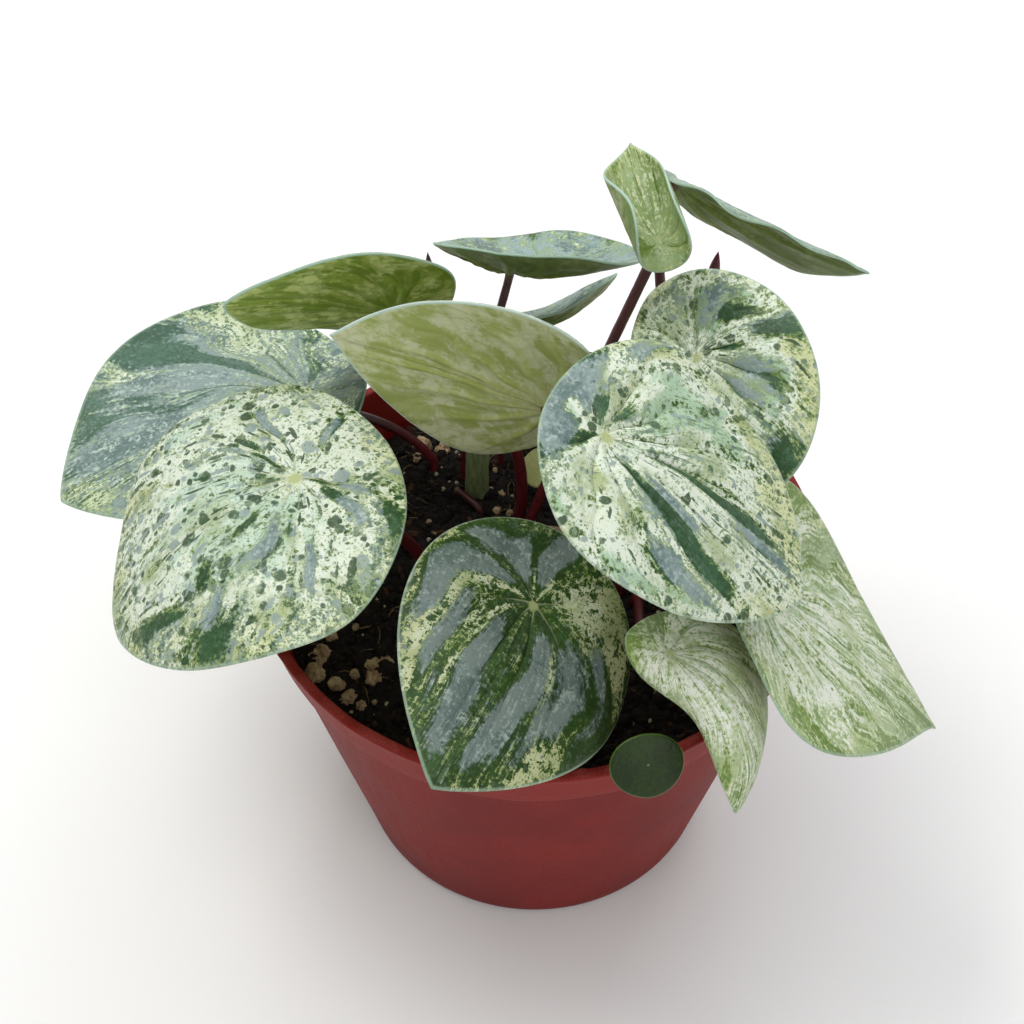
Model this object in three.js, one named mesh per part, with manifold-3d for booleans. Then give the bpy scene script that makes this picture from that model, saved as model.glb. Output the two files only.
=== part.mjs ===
// A variegated peperomia in a round nursery pot.
// Millimetres, +Z up. The origin is the centre of the pot's base, on the surface that it stands on.
// Every leaf is a shield: its stalk meets the blade from below, inside its outline, at the navel.

import * as THREE from 'three';
import Module from 'manifold-3d';
import { mergeVertices } from 'three/addons/utils/BufferGeometryUtils.js';

// ---------------------------------------------------------------- driving dimensions

const POT = {
  rimRadius: 65,
  baseRadius: 46,
  height: 95,
  wall: 1.4,
  floor: 2.2,
  lipHeight: 12.5,
  lipStep: 1.1,
  lipRamp: 0.6,
  rimRound: 0.4,
  baseRound: 2.5,
  sides: 60,
  drainCount: 6,
  drainRadius: 3.5,
  drainCircle: 28,
  drainSides: 12,
};

const SOIL = {
  surface: 80,
  crown: 2,
  gap: 0.3,
  rings: 13,
  sectors: 44,
  roughness: 0.66,
  levelBand: 4,
  rootDepth: 11,
  holeGap: 0.35,
  holeSides: 10,
};

// Pale pumice stones that show in the soil: where each lies and its radius.
const PUMICE = [
  [-49, -23, 2.4], [-50, -28, 2.6], [-45, -31, 2], [-42, -35, 1.9], [-37, -26, 1.7], [-34, -25, 1.5],
  [-37, -30, 2], [-41, -28, 1.3], [-47, -18, 1.4], [-39, -37, 1.3], [-28, 43, 2.4], [-23, 41, 1.9],
  [-29, 38, 1.6], [-17, 38, 1.4], [-9, 20, 1.2], [-8, 25, 1], [8, 18, 1.2], [27, -34, 1.3],
  [31, -30, 1], [12, -45, 1.4], [-20, -44, 1.6], [2, -50, 1.2],
];

// How far a stone stands out of the soil, and how much each is turned from the one before it.
const STONE = { lift: 0.15, turn: 2.4 };

const BLADE = {
  thickness: 1.1,
  edgeThickness: 0.7,
  dimpleRadius: 14,
  crease: 3,
  curlSteps: 24,
  rings: 4,
  sectors: 28,
  smallSectors: 16,
  smallBlade: 30,
};

const STALK = { sides: 7, steps: 14, seat: 0.35, straight: 2 };

// How a bud's stalk runs: lean is how far it sets out towards its end (0 upright, 1 straight there),
// lift and meet how long it keeps its first and last directions, as shares of its span.
const BUD_STALK = { lean: 0, lift: 0.35, meet: 0.3 };

const CROWN = { at: [4, 5], radius: 4.6, height: 9, lean: [0, 0] };

const STUMP = { at: [-14, 26], radius: 3, height: 28, lean: [1, -2] };

const STUB = { from: [-13, 19], radius: 0.9, rise: [-6, 5, 3], upright: 2, sides: 8 };

// How a stem narrows: at mid height, at its shoulder and on its head.
const STEM = { middle: 0.94, shoulder: 0.9, head: 0.55, dome: 0.3, clear: 0.5, sides: 12 };

// Each blade: where its navel is, which way its tip points, how far it reaches each way from the
// navel, how it bends along its midrib and curls across it, where its stalk leaves the soil and
// how that runs. Angles are degrees: heading is about +Z from +X, pitch lifts the tip, roll lifts
// the left side, a positive bend or curl turns down, a negative fold lifts both halves. pointed 0
// is an ellipse. A stalk with a negative lean sets out away from its blade.
const LEAVES = [
  {
    name: 'rear_left', navel: [-56, 38, 108], heading: 207, pitch: -5, roll: 17,
    tip: 62, base: 15, left: 33, right: 46, pointed: 0.54, tipBend: 8, baseBend: -3,
    leftCurl: 11, rightCurl: -20, fold: 0, twist: -12, dimple: 3, wave: 1.2, waves: 5, phase: 40,
    stalk: { root: [-25, 35], radius: 1.2, lean: 0.5, lift: 0.6, meet: 0.15 },
  },
  {
    name: 'front_left', navel: [-50, -13, 132], heading: 207, pitch: -4, roll: 6,
    tip: 53, base: 21, left: 39, right: 36, pointed: 0.26, tipBend: 53, baseBend: 19,
    leftCurl: 22, rightCurl: 8, fold: 0, twist: 7, dimple: 3, wave: 1, waves: 5, phase: 90,
    stalk: { root: [-24, -4], radius: 1.5, lean: 0.3, lift: 0.6, meet: 0.2 },
  },
  {
    name: 'centre', navel: [3, 2.5, 136], heading: 174, pitch: 19, roll: 83,
    tip: 48, base: 7, left: 33, right: 25, pointed: 1.14, tipBend: 2, baseBend: 9,
    leftCurl: 37, rightCurl: -8, fold: 0, twist: 15, dimple: 2, wave: 0.8, waves: 4, phase: 0,
    stalk: { root: [12, 12], radius: 1.4, lean: 0.3, lift: 0.35, meet: 0.3 },
  },
  {
    name: 'upper_left', navel: [-32, 37, 134], heading: 196, pitch: 17, roll: 67,
    tip: 39, base: 13, left: 26, right: 23, pointed: 0.53, tipBend: 8, baseBend: 5,
    leftCurl: 14, rightCurl: -21, fold: 0, twist: -1, dimple: 2, wave: 0.8, waves: 4, phase: 120,
    stalk: { root: [-3.5, 16.5], radius: 1.4, lean: -0.25, lift: 0.8, meet: 0.2 },
  },
  {
    name: 'centre_right', navel: [13, -29, 159], heading: -20, pitch: -30, roll: 2,
    tip: 53, base: 13, left: 31, right: 26, pointed: 0.48, tipBend: 19, baseBend: 18,
    leftCurl: 12, rightCurl: 17, fold: 0, twist: 1, dimple: 3, wave: 0.8, waves: 5, phase: 200,
    stalk: { root: [14, 1], radius: 1.5, lean: 0.3, lift: 0.35, meet: 0.3 },
  },
  {
    name: 'rear_right', navel: [33, 11, 141], heading: -64, pitch: -15, roll: 41,
    tip: 34, base: 18.5, left: 22.5, right: 15.5, pointed: 0.12, tipBend: 26, baseBend: 7,
    leftCurl: 24, rightCurl: 15, fold: 0, twist: -8, dimple: 3, wave: 1, waves: 5, phase: 30,
    stalk: { root: [19, 13], radius: 1.5, lean: 0.4, lift: 0.35, meet: 0.3 },
  },
  {
    name: 'lower_right', navel: [45, -30, 117], heading: -4, pitch: -44, roll: -4,
    tip: 70, base: 10, left: 34, right: 34, pointed: 1.4, tipBend: 8, baseBend: 18,
    leftCurl: -10, rightCurl: 5, fold: 0, twist: -2, dimple: 2, wave: 1, waves: 4, phase: 10,
    stalk: { root: [20, -6], radius: 1.5, lean: 0.6, lift: 0.4, meet: 0.3 },
  },
  {
    name: 'lower_small', navel: [25, -53, 124], heading: -33, pitch: -10, roll: -22,
    tip: 41, base: 9, left: 24, right: 10, pointed: 0.56, tipBend: 88, baseBend: 16,
    leftCurl: 16, rightCurl: 150, fold: 0, twist: 4, dimple: 2, wave: 0.5, waves: 4, phase: 60,
    stalk: { root: [23, -10], radius: 1.1, lean: 0.5, lift: 0.4, meet: 0.3 },
  },
  {
    name: 'front', navel: [0, -38, 120], heading: -113, pitch: 4, roll: -28,
    tip: 48, base: 18, left: 31, right: 25, pointed: 0.74, tipBend: 9, baseBend: -3,
    leftCurl: 40, rightCurl: 24, fold: 0, twist: 0, dimple: 3, wave: 0.7, waves: 4, phase: 150,
    stalk: { root: [3, -4], radius: 1.4, lean: 0.3, lift: 0.35, meet: 0.3 },
  },
  {
    name: 'back', navel: [-5, 54, 130], heading: 191, pitch: 21, roll: 30,
    tip: 20, base: 33, left: 24, right: 21, pointed: 0.3, tipBend: -14, baseBend: -33,
    leftCurl: -19, rightCurl: -17, fold: -7, twist: 10, dimple: 1, wave: 0.5, waves: 5, phase: 0,
    stalk: { root: [-17, 31], radius: 1, lean: 0, lift: 0.35, meet: 0.15 },
  },
  {
    name: 'upright', navel: [26, 26, 160], heading: 105, pitch: 25, roll: -10,
    tip: 23, base: 7, left: 21, right: 13, pointed: 1.36, tipBend: 0, baseBend: 10,
    leftCurl: -70, rightCurl: -74, fold: -42, twist: -20, dimple: 1, wave: 0.5, waves: 3, phase: 0,
    stalk: { root: [-1, 14.5], radius: 1.2, lean: 0.9, lift: 0.45, meet: 0.05 },
  },
  {
    name: 'upper_right', navel: [33, 57, 153], heading: -32, pitch: -16, roll: -55,
    tip: 48, base: 7, left: 30, right: 10, pointed: 1, tipBend: -11, baseBend: 25,
    leftCurl: -60, rightCurl: -6, fold: 24, twist: -2, dimple: 1, wave: 0.9, waves: 9, phase: 58,
    stalk: { root: [36, 34], radius: 1.2, lean: 0.2, lift: 0.35, meet: 0.2 },
  },
  {
    name: 'behind_centre', navel: [-1, 54, 112.5], heading: 33, pitch: -23, roll: -36,
    tip: 33, base: 9, left: 15, right: 8, pointed: 0.12, tipBend: -40, baseBend: -29,
    leftCurl: 27, rightCurl: 0, fold: -31, twist: -22, dimple: 1, wave: 0.3, waves: 4, phase: 0,
    stalk: { root: [-8, 36], radius: 0.8, lean: 0, lift: 0.35, meet: 0.25 },
  },
  {
    name: 'rim_seedling', navel: [21, -67, 104], heading: -80, pitch: -50, roll: 0,
    tip: 7, base: 6, left: 7.5, right: 7.5, pointed: 0.1, tipBend: 10, baseBend: 10,
    leftCurl: 15, rightCurl: 15, fold: 0, twist: 0, dimple: 0.5, wave: 0.2, waves: 3, phase: 0,
    stalk: { root: [17, -53], radius: 0.7, lean: 0, lift: 0.35, meet: 0.3 },
  },
  {
    name: 'young', navel: [1, 27, 92], heading: -95, pitch: -20, roll: 30,
    tip: 7, base: 3.5, left: 5, right: 5, pointed: 0.4, tipBend: 10, baseBend: 10,
    leftCurl: 15, rightCurl: 15, fold: 0, twist: 0, dimple: 0.3, wave: 0.2, waves: 3, phase: 0,
    stalk: { root: [5, 30], radius: 0.7, lean: 0, lift: 0.35, meet: 0.3 },
  },
];

// Unopened leaves, still rolled into a point on a stalk of their own.
const BUDS = [
  { name: 'left', root: [-19, 48], tip: [-26, 75, 118], length: 9, radius: 1.5, stalk: 0.9 },
  { name: 'right', root: [30, 38], tip: [43.5, 53, 135], length: 8, radius: 1.5, stalk: 0.9 },
];

// A bud is fullest low down and leans only part of the way that its stalk does.
const BUD = { fullest: 0.3, waist: 0.65, waistRadius: 0.75, lean: 0.4, sides: 8 };

// ---------------------------------------------------------------- finishes

const finish = (colour, roughness) =>
  new THREE.MeshStandardMaterial({ color: colour, roughness, metalness: 0 });

const finishes = {
  pot: () => finish(0x8a3b35, 0.55),
  soil: () => finish(0x1d1816, 1),
  blade: () => finish(0x9db98d, 0.45),
  underside: () => finish(0x8fa35c, 0.6),
  stalk: () => finish(0x7a1f2b, 0.45),
  stem: () => finish(0x6f7d55, 0.6),
};

// ---------------------------------------------------------------- helpers

const wasm = await Module();
wasm.setup();

const radians = THREE.MathUtils.degToRad;

function toSolid(geometry) {
  const bare = geometry.clone();
  bare.deleteAttribute('normal');
  bare.deleteAttribute('uv');
  const merged = mergeVertices(bare, 1e-4);
  return new wasm.Manifold(new wasm.Mesh({
    numProp: 3,
    vertProperties: new Float32Array(merged.attributes.position.array),
    triVerts: new Uint32Array(merged.index.array),
  }));
}

function toGeometry(solid) {
  const mesh = solid.getMesh();
  const geometry = new THREE.BufferGeometry();
  geometry.setAttribute('position', new THREE.BufferAttribute(mesh.vertProperties, 3));
  geometry.setIndex(new THREE.BufferAttribute(mesh.triVerts, 1));
  return geometry;
}

function indexedGeometry(points, triangles) {
  const geometry = new THREE.BufferGeometry();
  geometry.setAttribute('position',
    new THREE.Float32BufferAttribute(points.flatMap((p) => [p.x, p.y, p.z]), 3));
  geometry.setIndex(triangles);
  return geometry;
}

const group = new THREE.Group();

function add(name, geometry, material) {
  const mesh = new THREE.Mesh(geometry, material);
  mesh.name = name;
  group.add(mesh);
  return mesh;
}

function tube(curve, radius, sides, steps) {
  const section = new THREE.Shape();
  for (let i = 0; i < sides; i++) {
    const angle = (2 * Math.PI * i) / sides;
    const point = [radius * Math.cos(angle), radius * Math.sin(angle)];
    if (i === 0) section.moveTo(...point);
    else section.lineTo(...point);
  }
  section.closePath();
  return new THREE.ExtrudeGeometry(section, { steps, bevelEnabled: false, extrudePath: curve });
}

// ---------------------------------------------------------------- pot

const wallRadius = (z) => POT.baseRadius
  + (POT.rimRadius - POT.lipStep - POT.baseRadius) * (z / POT.height);
const innerRadius = (z) => wallRadius(z) - POT.wall;

function makePot() {
  const lipFoot = POT.height - POT.lipHeight;
  const profile = [
    [0, 0],
    [wallRadius(0) - POT.baseRound, 0],
    [wallRadius(0) - POT.rimRound, POT.rimRound],
    [wallRadius(POT.baseRound), POT.baseRound],
    [wallRadius(lipFoot), lipFoot],
    [wallRadius(lipFoot) + POT.lipStep, lipFoot + POT.lipRamp],
    [POT.rimRadius, POT.height - POT.rimRound],
    [POT.rimRadius - POT.rimRound, POT.height],
    [innerRadius(POT.height) + POT.rimRound, POT.height],
    [innerRadius(POT.height - POT.rimRound), POT.height - POT.rimRound],
    [innerRadius(POT.floor), POT.floor],
    [0, POT.floor],
  ].map(([r, z]) => new THREE.Vector2(r, z));
  const shell = new THREE.LatheGeometry(profile, POT.sides).rotateX(Math.PI / 2);
  let solid = toSolid(shell);
  for (let i = 0; i < POT.drainCount; i++) {
    const angle = (2 * Math.PI * i) / POT.drainCount;
    const hole = new THREE.CylinderGeometry(
      POT.drainRadius, POT.drainRadius, 4 * POT.floor, POT.drainSides)
      .rotateX(Math.PI / 2)
      .translate(POT.drainCircle * Math.cos(angle), POT.drainCircle * Math.sin(angle), 0);
    solid = solid.subtract(toSolid(hole));
  }
  return toGeometry(solid);
}

// ---------------------------------------------------------------- soil

function soilHeight(x, y) {
  const r = Math.hypot(x, y);
  const edge = innerRadius(SOIL.surface);
  const mound = SOIL.crown * Math.cos((Math.PI / 2) * Math.min(1, r / edge));
  const clods = Math.sin(0.61 * x + 1.3) * Math.cos(0.53 * y - 0.4)
    + 0.6 * Math.sin(1.13 * x - 0.87 * y) * Math.cos(0.91 * x + 0.4 * y);
  const level = Math.min(1, (edge - r) / SOIL.levelBand);
  return SOIL.surface + mound + SOIL.roughness * clods * level;
}

function soilBlock() {
  const { rings, sectors, gap } = SOIL;
  const bottom = POT.floor + gap;
  const points = [new THREE.Vector3(0, 0, soilHeight(0, 0))];
  for (let k = 1; k <= rings; k++) {
    const r = (innerRadius(SOIL.surface) - gap) * (k / rings);
    for (let i = 0; i < sectors; i++) {
      const angle = (2 * Math.PI * (i + (k % 2) / 2)) / sectors;
      const [x, y] = [r * Math.cos(angle), r * Math.sin(angle)];
      points.push(new THREE.Vector3(x, y, k === rings ? SOIL.surface : soilHeight(x, y)));
    }
  }
  for (let i = 0; i < sectors; i++) {
    const angle = (2 * Math.PI * (i + (rings % 2) / 2)) / sectors;
    const r = innerRadius(bottom) - gap;
    points.push(new THREE.Vector3(r * Math.cos(angle), r * Math.sin(angle), bottom));
  }
  points.push(new THREE.Vector3(0, 0, bottom));
  const ring = (k) => 1 + (k - 1) * sectors;
  const triangles = [];
  for (let i = 0; i < sectors; i++) {
    const j = (i + 1) % sectors;
    triangles.push(0, 1 + i, 1 + j);
    for (let k = 1; k < rings; k++) {
      const [a, b] = [ring(k), ring(k + 1)];
      if (k % 2) triangles.push(a + i, b + i, b + j, a + i, b + j, a + j);
      else triangles.push(a + i, b + i, a + j, a + j, b + i, b + j);
    }
    const [top, foot] = [ring(rings), ring(rings + 1)];
    triangles.push(top + i, foot + i, foot + j, top + i, foot + j, top + j);
    triangles.push(points.length - 1, foot + j, foot + i);
  }
  return indexedGeometry(points, triangles);
}

function stones() {
  return PUMICE.map(([x, y, radius], n) => new THREE.IcosahedronGeometry(radius, 0)
    .rotateX(STONE.turn * n)
    .rotateZ(STONE.turn * n)
    .translate(x, y, soilHeight(x, y) + STONE.lift * radius));
}

function plainHole([x, y], radius) {
  const top = SOIL.surface + SOIL.rootDepth;
  const bottom = SOIL.surface - SOIL.rootDepth - SOIL.holeGap;
  return toSolid(new THREE.CylinderGeometry(radius, radius, top - bottom, SOIL.holeSides)
    .rotateX(Math.PI / 2)
    .translate(x, y, (top + bottom) / 2));
}

function makeSoil() {
  let solid = toSolid(soilBlock());
  for (const stone of stones()) solid = solid.add(toSolid(stone));
  const clear = (radius) => radius / Math.cos(Math.PI / SOIL.holeSides) + SOIL.holeGap;
  for (const { stalk } of LEAVES) solid = solid.subtract(plainHole(stalk.root, clear(stalk.radius)));
  for (const bud of BUDS) solid = solid.subtract(plainHole(bud.root, clear(bud.stalk)));
  solid = solid.subtract(plainHole(CROWN.at, clear(CROWN.radius)));
  solid = solid.subtract(plainHole(STUMP.at, clear(STUMP.radius)));
  solid = solid.subtract(plainHole(STUB.from, clear(STUB.radius)));
  return toGeometry(solid);
}

// ---------------------------------------------------------------- blades

// The blade's own directions: towards its tip, to its left, and out of its upper face.
function bladeAxes(leaf) {
  const [heading, pitch, roll] = [leaf.heading, leaf.pitch, leaf.roll].map(radians);
  const forward = new THREE.Vector3(
    Math.cos(pitch) * Math.cos(heading), Math.cos(pitch) * Math.sin(heading), Math.sin(pitch));
  const level = new THREE.Vector3(-Math.sin(heading), Math.cos(heading), 0);
  const above = new THREE.Vector3().crossVectors(forward, level);
  const left = level.clone().multiplyScalar(Math.cos(roll)).addScaledVector(above, Math.sin(roll));
  const up = above.clone().multiplyScalar(Math.cos(roll)).addScaledVector(level, -Math.sin(roll));
  return { forward, left, up };
}

// The flat outline, about the navel: 0 is the tip, 180 and -180 degrees the base.
function outlinePoint(leaf, angle) {
  const half = (leaf.tip + leaf.base) / 2;
  const turn = Math.abs(angle);
  const shape = (s) => Math.sin(s) * Math.sin(s / 2) ** leaf.pointed;
  let widest = 0;
  for (let s = 0.02; s < Math.PI; s += 0.02) widest = Math.max(widest, shape(s));
  const width = angle >= 0 ? leaf.left : leaf.right;
  return [
    (leaf.tip - leaf.base) / 2 + half * Math.cos(turn),
    Math.sign(angle) * width * Math.max(0, shape(turn)) / widest,
  ];
}

// How far the fold and the curl carry a point sideways and down, on its way out from the midrib.
// The fold is not a sharp crease: it comes on over the first few millimetres.
function crossSection(fold, curl, y) {
  const step = y / BLADE.curlSteps;
  let [sideways, down] = [0, 0];
  for (let n = 0; n < BLADE.curlSteps; n++) {
    const out = (n + 0.5) * step;
    const slope = fold * (1 - Math.exp(-out / BLADE.crease)) + curl * out;
    sideways += step * Math.cos(slope);
    down += step * Math.sin(slope);
  }
  return [sideways, down];
}

// Bends a flat point (x along the midrib, y across it) into place.
function bladePoint(leaf, axes, x, y, ripple) {
  const tiny = 1e-6;
  const along = radians(x >= 0 ? leaf.tipBend / leaf.tip : leaf.baseBend / leaf.base) || tiny;
  const angle = along * x;
  const spine = new THREE.Vector3(Math.sin(angle) / along, 0, -(1 - Math.cos(angle)) / along);
  const tilt = radians(leaf.twist) * x / (leaf.tip + leaf.base);
  const normal = new THREE.Vector3(Math.sin(angle), 0, Math.cos(angle));
  const across = new THREE.Vector3(0, 1, 0).multiplyScalar(Math.cos(tilt))
    .addScaledVector(normal, Math.sin(tilt));
  const out = normal.clone().multiplyScalar(Math.cos(tilt))
    .addScaledVector(new THREE.Vector3(0, 1, 0), -Math.sin(tilt));
  const curl = radians(y >= 0 ? leaf.leftCurl / leaf.left : leaf.rightCurl / leaf.right);
  const [sideways, down] = crossSection(radians(leaf.fold), curl, Math.abs(y));
  const dimple = leaf.dimple * Math.exp(-((Math.hypot(x, y) / BLADE.dimpleRadius) ** 2));
  const local = spine.addScaledVector(across, Math.sign(y) * sideways)
    .addScaledVector(out, ripple - dimple - down);
  return new THREE.Vector3(...leaf.navel)
    .addScaledVector(axes.forward, local.x)
    .addScaledVector(axes.left, local.y)
    .addScaledVector(axes.up, local.z);
}

function makeBlade(leaf) {
  const axes = bladeAxes(leaf);
  const sectors = leaf.tip + leaf.base < BLADE.smallBlade ? BLADE.smallSectors : BLADE.sectors;
  const { rings } = BLADE;
  const middle = [bladePoint(leaf, axes, 0, 0, 0)];
  const reach = [0];
  for (let k = 1; k <= rings; k++) {
    for (let i = 0; i < sectors; i++) {
      const angle = -Math.PI + (2 * Math.PI * i) / sectors;
      const [x, y] = outlinePoint(leaf, angle);
      const share = k / rings;
      const fullness = Math.abs(y) / (angle >= 0 ? leaf.left : leaf.right);
      const swing = Math.sin(leaf.waves * angle + radians(leaf.phase));
      const ripple = leaf.wave * share ** 2 * fullness * swing;
      middle.push(bladePoint(leaf, axes, x * share, y * share, ripple));
      reach.push(share);
    }
  }
  const faces = [];
  const ring = (k) => 1 + (k - 1) * sectors;
  for (let i = 0; i < sectors; i++) {
    const j = (i + 1) % sectors;
    faces.push([0, 1 + i, 1 + j]);
    for (let k = 1; k < rings; k++) {
      const [a, b] = [ring(k), ring(k + 1)];
      faces.push([a + i, b + i, b + j], [a + i, b + j, a + j]);
    }
  }
  const normals = middle.map(() => new THREE.Vector3());
  for (const [a, b, c] of faces) {
    const side = new THREE.Vector3().subVectors(middle[b], middle[a]);
    const area = side.cross(new THREE.Vector3().subVectors(middle[c], middle[a]));
    for (const corner of [a, b, c]) normals[corner].add(area);
  }
  const offset = (sign) => middle.map((point, n) => {
    const thick = BLADE.thickness + (BLADE.edgeThickness - BLADE.thickness) * reach[n];
    return point.clone().addScaledVector(normals[n].normalize(), (sign * thick) / 2);
  });
  const points = [...offset(1), ...offset(-1)];
  const under = middle.length;
  const triangles = faces.flatMap(([a, b, c]) => [a, b, c, under + a, under + c, under + b]);
  const edge = ring(rings);
  for (let i = 0; i < sectors; i++) {
    const [a, b] = [edge + i, edge + ((i + 1) % sectors)];
    triangles.push(a, under + a, under + b, a, under + b, b);
  }
  return indexedGeometry(points, triangles);
}

// ---------------------------------------------------------------- stalks

// A stalk stands upright in its hole, sets out at its own lean and meets its end square on.
function stalkCurve([x, y], end, arrival, { lean, lift, meet }) {
  const foot = new THREE.Vector3(x, y, SOIL.surface - SOIL.rootDepth);
  const start = new THREE.Vector3(x, y, SOIL.surface + SOIL.crown + STALK.straight);
  const span = start.distanceTo(end);
  const rise = new THREE.Vector3(0, 0, 1 - lean)
    .addScaledVector(end.clone().sub(start), lean / span)
    .normalize();
  const path = new THREE.CurvePath();
  path.add(new THREE.LineCurve3(foot, start));
  path.add(new THREE.CubicBezierCurve3(
    start,
    start.clone().addScaledVector(rise, span * lift),
    end.clone().addScaledVector(arrival, -span * meet),
    end,
  ));
  return path;
}

function makeLeafStalk(leaf) {
  const { root, radius } = leaf.stalk;
  const axes = bladeAxes(leaf);
  const navel = bladePoint(leaf, axes, 0, 0, 0);
  const ridge = radius * Math.tan(radians(Math.max(0, leaf.fold)));
  const end = navel.addScaledVector(axes.up, -(BLADE.thickness / 2 + STALK.seat + ridge));
  return tube(stalkCurve(root, end, axes.up, leaf.stalk), radius, STALK.sides, STALK.steps);
}

// ---------------------------------------------------------------- buds, crown and stumps

const budAxis = (bud) => {
  const lean = new THREE.Vector3(bud.tip[0] - bud.root[0], bud.tip[1] - bud.root[1], 0);
  const rise = new THREE.Vector3(0, 0, bud.tip[2] - SOIL.surface);
  return lean.multiplyScalar(BUD.lean).add(rise).normalize();
};

function makeBud(bud) {
  const profile = [
    [0, 0],
    [bud.stalk, 0],
    [bud.radius, bud.length * BUD.fullest],
    [bud.radius * BUD.waistRadius, bud.length * BUD.waist],
    [0, bud.length],
  ].map(([r, z]) => new THREE.Vector2(r, z));
  const turn = new THREE.Quaternion().setFromUnitVectors(new THREE.Vector3(0, 1, 0), budAxis(bud));
  const foot = new THREE.Vector3(...bud.tip).addScaledVector(budAxis(bud), -bud.length);
  return new THREE.LatheGeometry(profile, BUD.sides).applyQuaternion(turn).translate(...foot);
}

function makeBudStalk(bud) {
  const axis = budAxis(bud);
  const end = new THREE.Vector3(...bud.tip).addScaledVector(axis, -bud.length - STALK.seat);
  const path = stalkCurve(bud.root, end, axis, BUD_STALK);
  return tube(path, bud.stalk, STALK.sides, STALK.steps);
}

// A short stem that stands in its hole, with a rounded head.
function makeStem({ at: [x, y], radius, height, lean }) {
  const foot = SOIL.surface - SOIL.rootDepth;
  const straight = SOIL.surface + SOIL.crown + STEM.clear;
  const top = SOIL.surface + height;
  const profile = [
    [0, foot],
    [radius, foot],
    [radius, straight],
    [radius * STEM.middle, (straight + top) / 2],
    [radius * STEM.shoulder, top - radius * STEM.dome],
    [radius * STEM.head, top],
    [0, top],
  ].map(([r, z]) => new THREE.Vector2(r, z));
  const stem = new THREE.LatheGeometry(profile, STEM.sides).rotateX(Math.PI / 2);
  const place = stem.attributes.position;
  for (let n = 0; n < place.count; n++) {
    const share = Math.max(0, (place.getZ(n) - straight) / (top - straight));
    place.setX(n, place.getX(n) + x + lean[0] * share);
    place.setY(n, place.getY(n) + y + lean[1] * share);
  }
  return stem;
}

function makeStub() {
  const [x, y] = STUB.from;
  const foot = new THREE.Vector3(x, y, SOIL.surface - SOIL.rootDepth);
  const start = new THREE.Vector3(x, y, SOIL.surface + SOIL.crown);
  const bend = start.clone().add(new THREE.Vector3(0, 0, STUB.upright));
  const end = start.clone().add(new THREE.Vector3(...STUB.rise));
  const path = new THREE.CurvePath();
  path.add(new THREE.LineCurve3(foot, start));
  path.add(new THREE.QuadraticBezierCurve3(start, bend, end));
  return tube(path, STUB.radius, STUB.sides, STALK.steps);
}

// ---------------------------------------------------------------- assembly

const UNDERSIDE_SHOWS = new Set(['centre', 'upper_left', 'behind_centre']);

add('pot', makePot(), finishes.pot());
add('soil', makeSoil(), finishes.soil());
add('crown', makeStem(CROWN), finishes.stem());
add('stem_stump', makeStem(STUMP), finishes.stem());
add('stem_stub', makeStub(), finishes.stalk());
for (const leaf of LEAVES) {
  const face = UNDERSIDE_SHOWS.has(leaf.name) ? finishes.underside() : finishes.blade();
  add(`blade_${leaf.name}`, makeBlade(leaf), face);
  add(`stalk_${leaf.name}`, makeLeafStalk(leaf), finishes.stalk());
}
for (const bud of BUDS) {
  add(`bud_${bud.name}`, makeBud(bud), finishes.stalk());
  add(`stalk_bud_${bud.name}`, makeBudStalk(bud), finishes.stalk());
}

export default group;
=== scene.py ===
"""A variegated peperomia in a brick-red nursery pot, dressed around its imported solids.

Lengths are in metres in the frame of the solids: +Z up, origin under the middle of the pot's base.
Sizes in the dataclasses are in millimetres, as a grower or a pot maker would give them.
"""

import logging
import math
import random
from dataclasses import dataclass, field
from enum import Enum

import bpy
import numpy as np
from mathutils import Matrix, Vector


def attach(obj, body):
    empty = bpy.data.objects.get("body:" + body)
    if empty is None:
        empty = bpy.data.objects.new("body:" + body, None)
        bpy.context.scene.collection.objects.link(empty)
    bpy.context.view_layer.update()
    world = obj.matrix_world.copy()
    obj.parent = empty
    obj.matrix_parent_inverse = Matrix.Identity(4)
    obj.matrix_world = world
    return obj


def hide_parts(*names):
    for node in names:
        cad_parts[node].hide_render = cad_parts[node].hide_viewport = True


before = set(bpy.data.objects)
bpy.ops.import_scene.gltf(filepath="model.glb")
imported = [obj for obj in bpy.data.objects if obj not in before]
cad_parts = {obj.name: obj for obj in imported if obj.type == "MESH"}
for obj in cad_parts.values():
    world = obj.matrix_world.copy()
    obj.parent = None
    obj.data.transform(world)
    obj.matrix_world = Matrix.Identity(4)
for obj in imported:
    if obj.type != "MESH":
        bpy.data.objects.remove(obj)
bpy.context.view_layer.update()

MM = 0.001
BODY = "root"
STALK_GAP = 0.35  # millimetres between the end of a stalk's solid and what the stalk carries

log = logging.getLogger("peperomia")

Colour = tuple[float, float, float]
ScreenColour = tuple[int, int, int]
Point = tuple[float, float, float]
Face = tuple[int, ...]
Looks = dict[str, object]
Socket = bpy.types.NodeSocket
Node = bpy.types.Node
Material = bpy.types.Material
Piece = bpy.types.Object
Array = np.ndarray


class Slot(Enum):
    """The record's material slots."""

    POT = "pot_plastic"
    SOIL = "soil_mix"
    UPPER = "leaf_upper"
    UNDER = "leaf_under"
    STALK = "stalk_red"
    STEM = "stem_green"
    BUD = "bud_dark"


class Ink(Enum):
    """What a stroke lays down: what it adds to how silvery, how bleached and how warm a blade is."""

    DARK = (-1.4, -1.0, 0.0)
    SILVER = (1.2, -1.0, 0.0)
    CREAM = (0.0, 1.0, 0.0)
    WARM = (0.0, 0.0, 1.0)
    MINT = (0.0, 0.0, -1.0)


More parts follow.
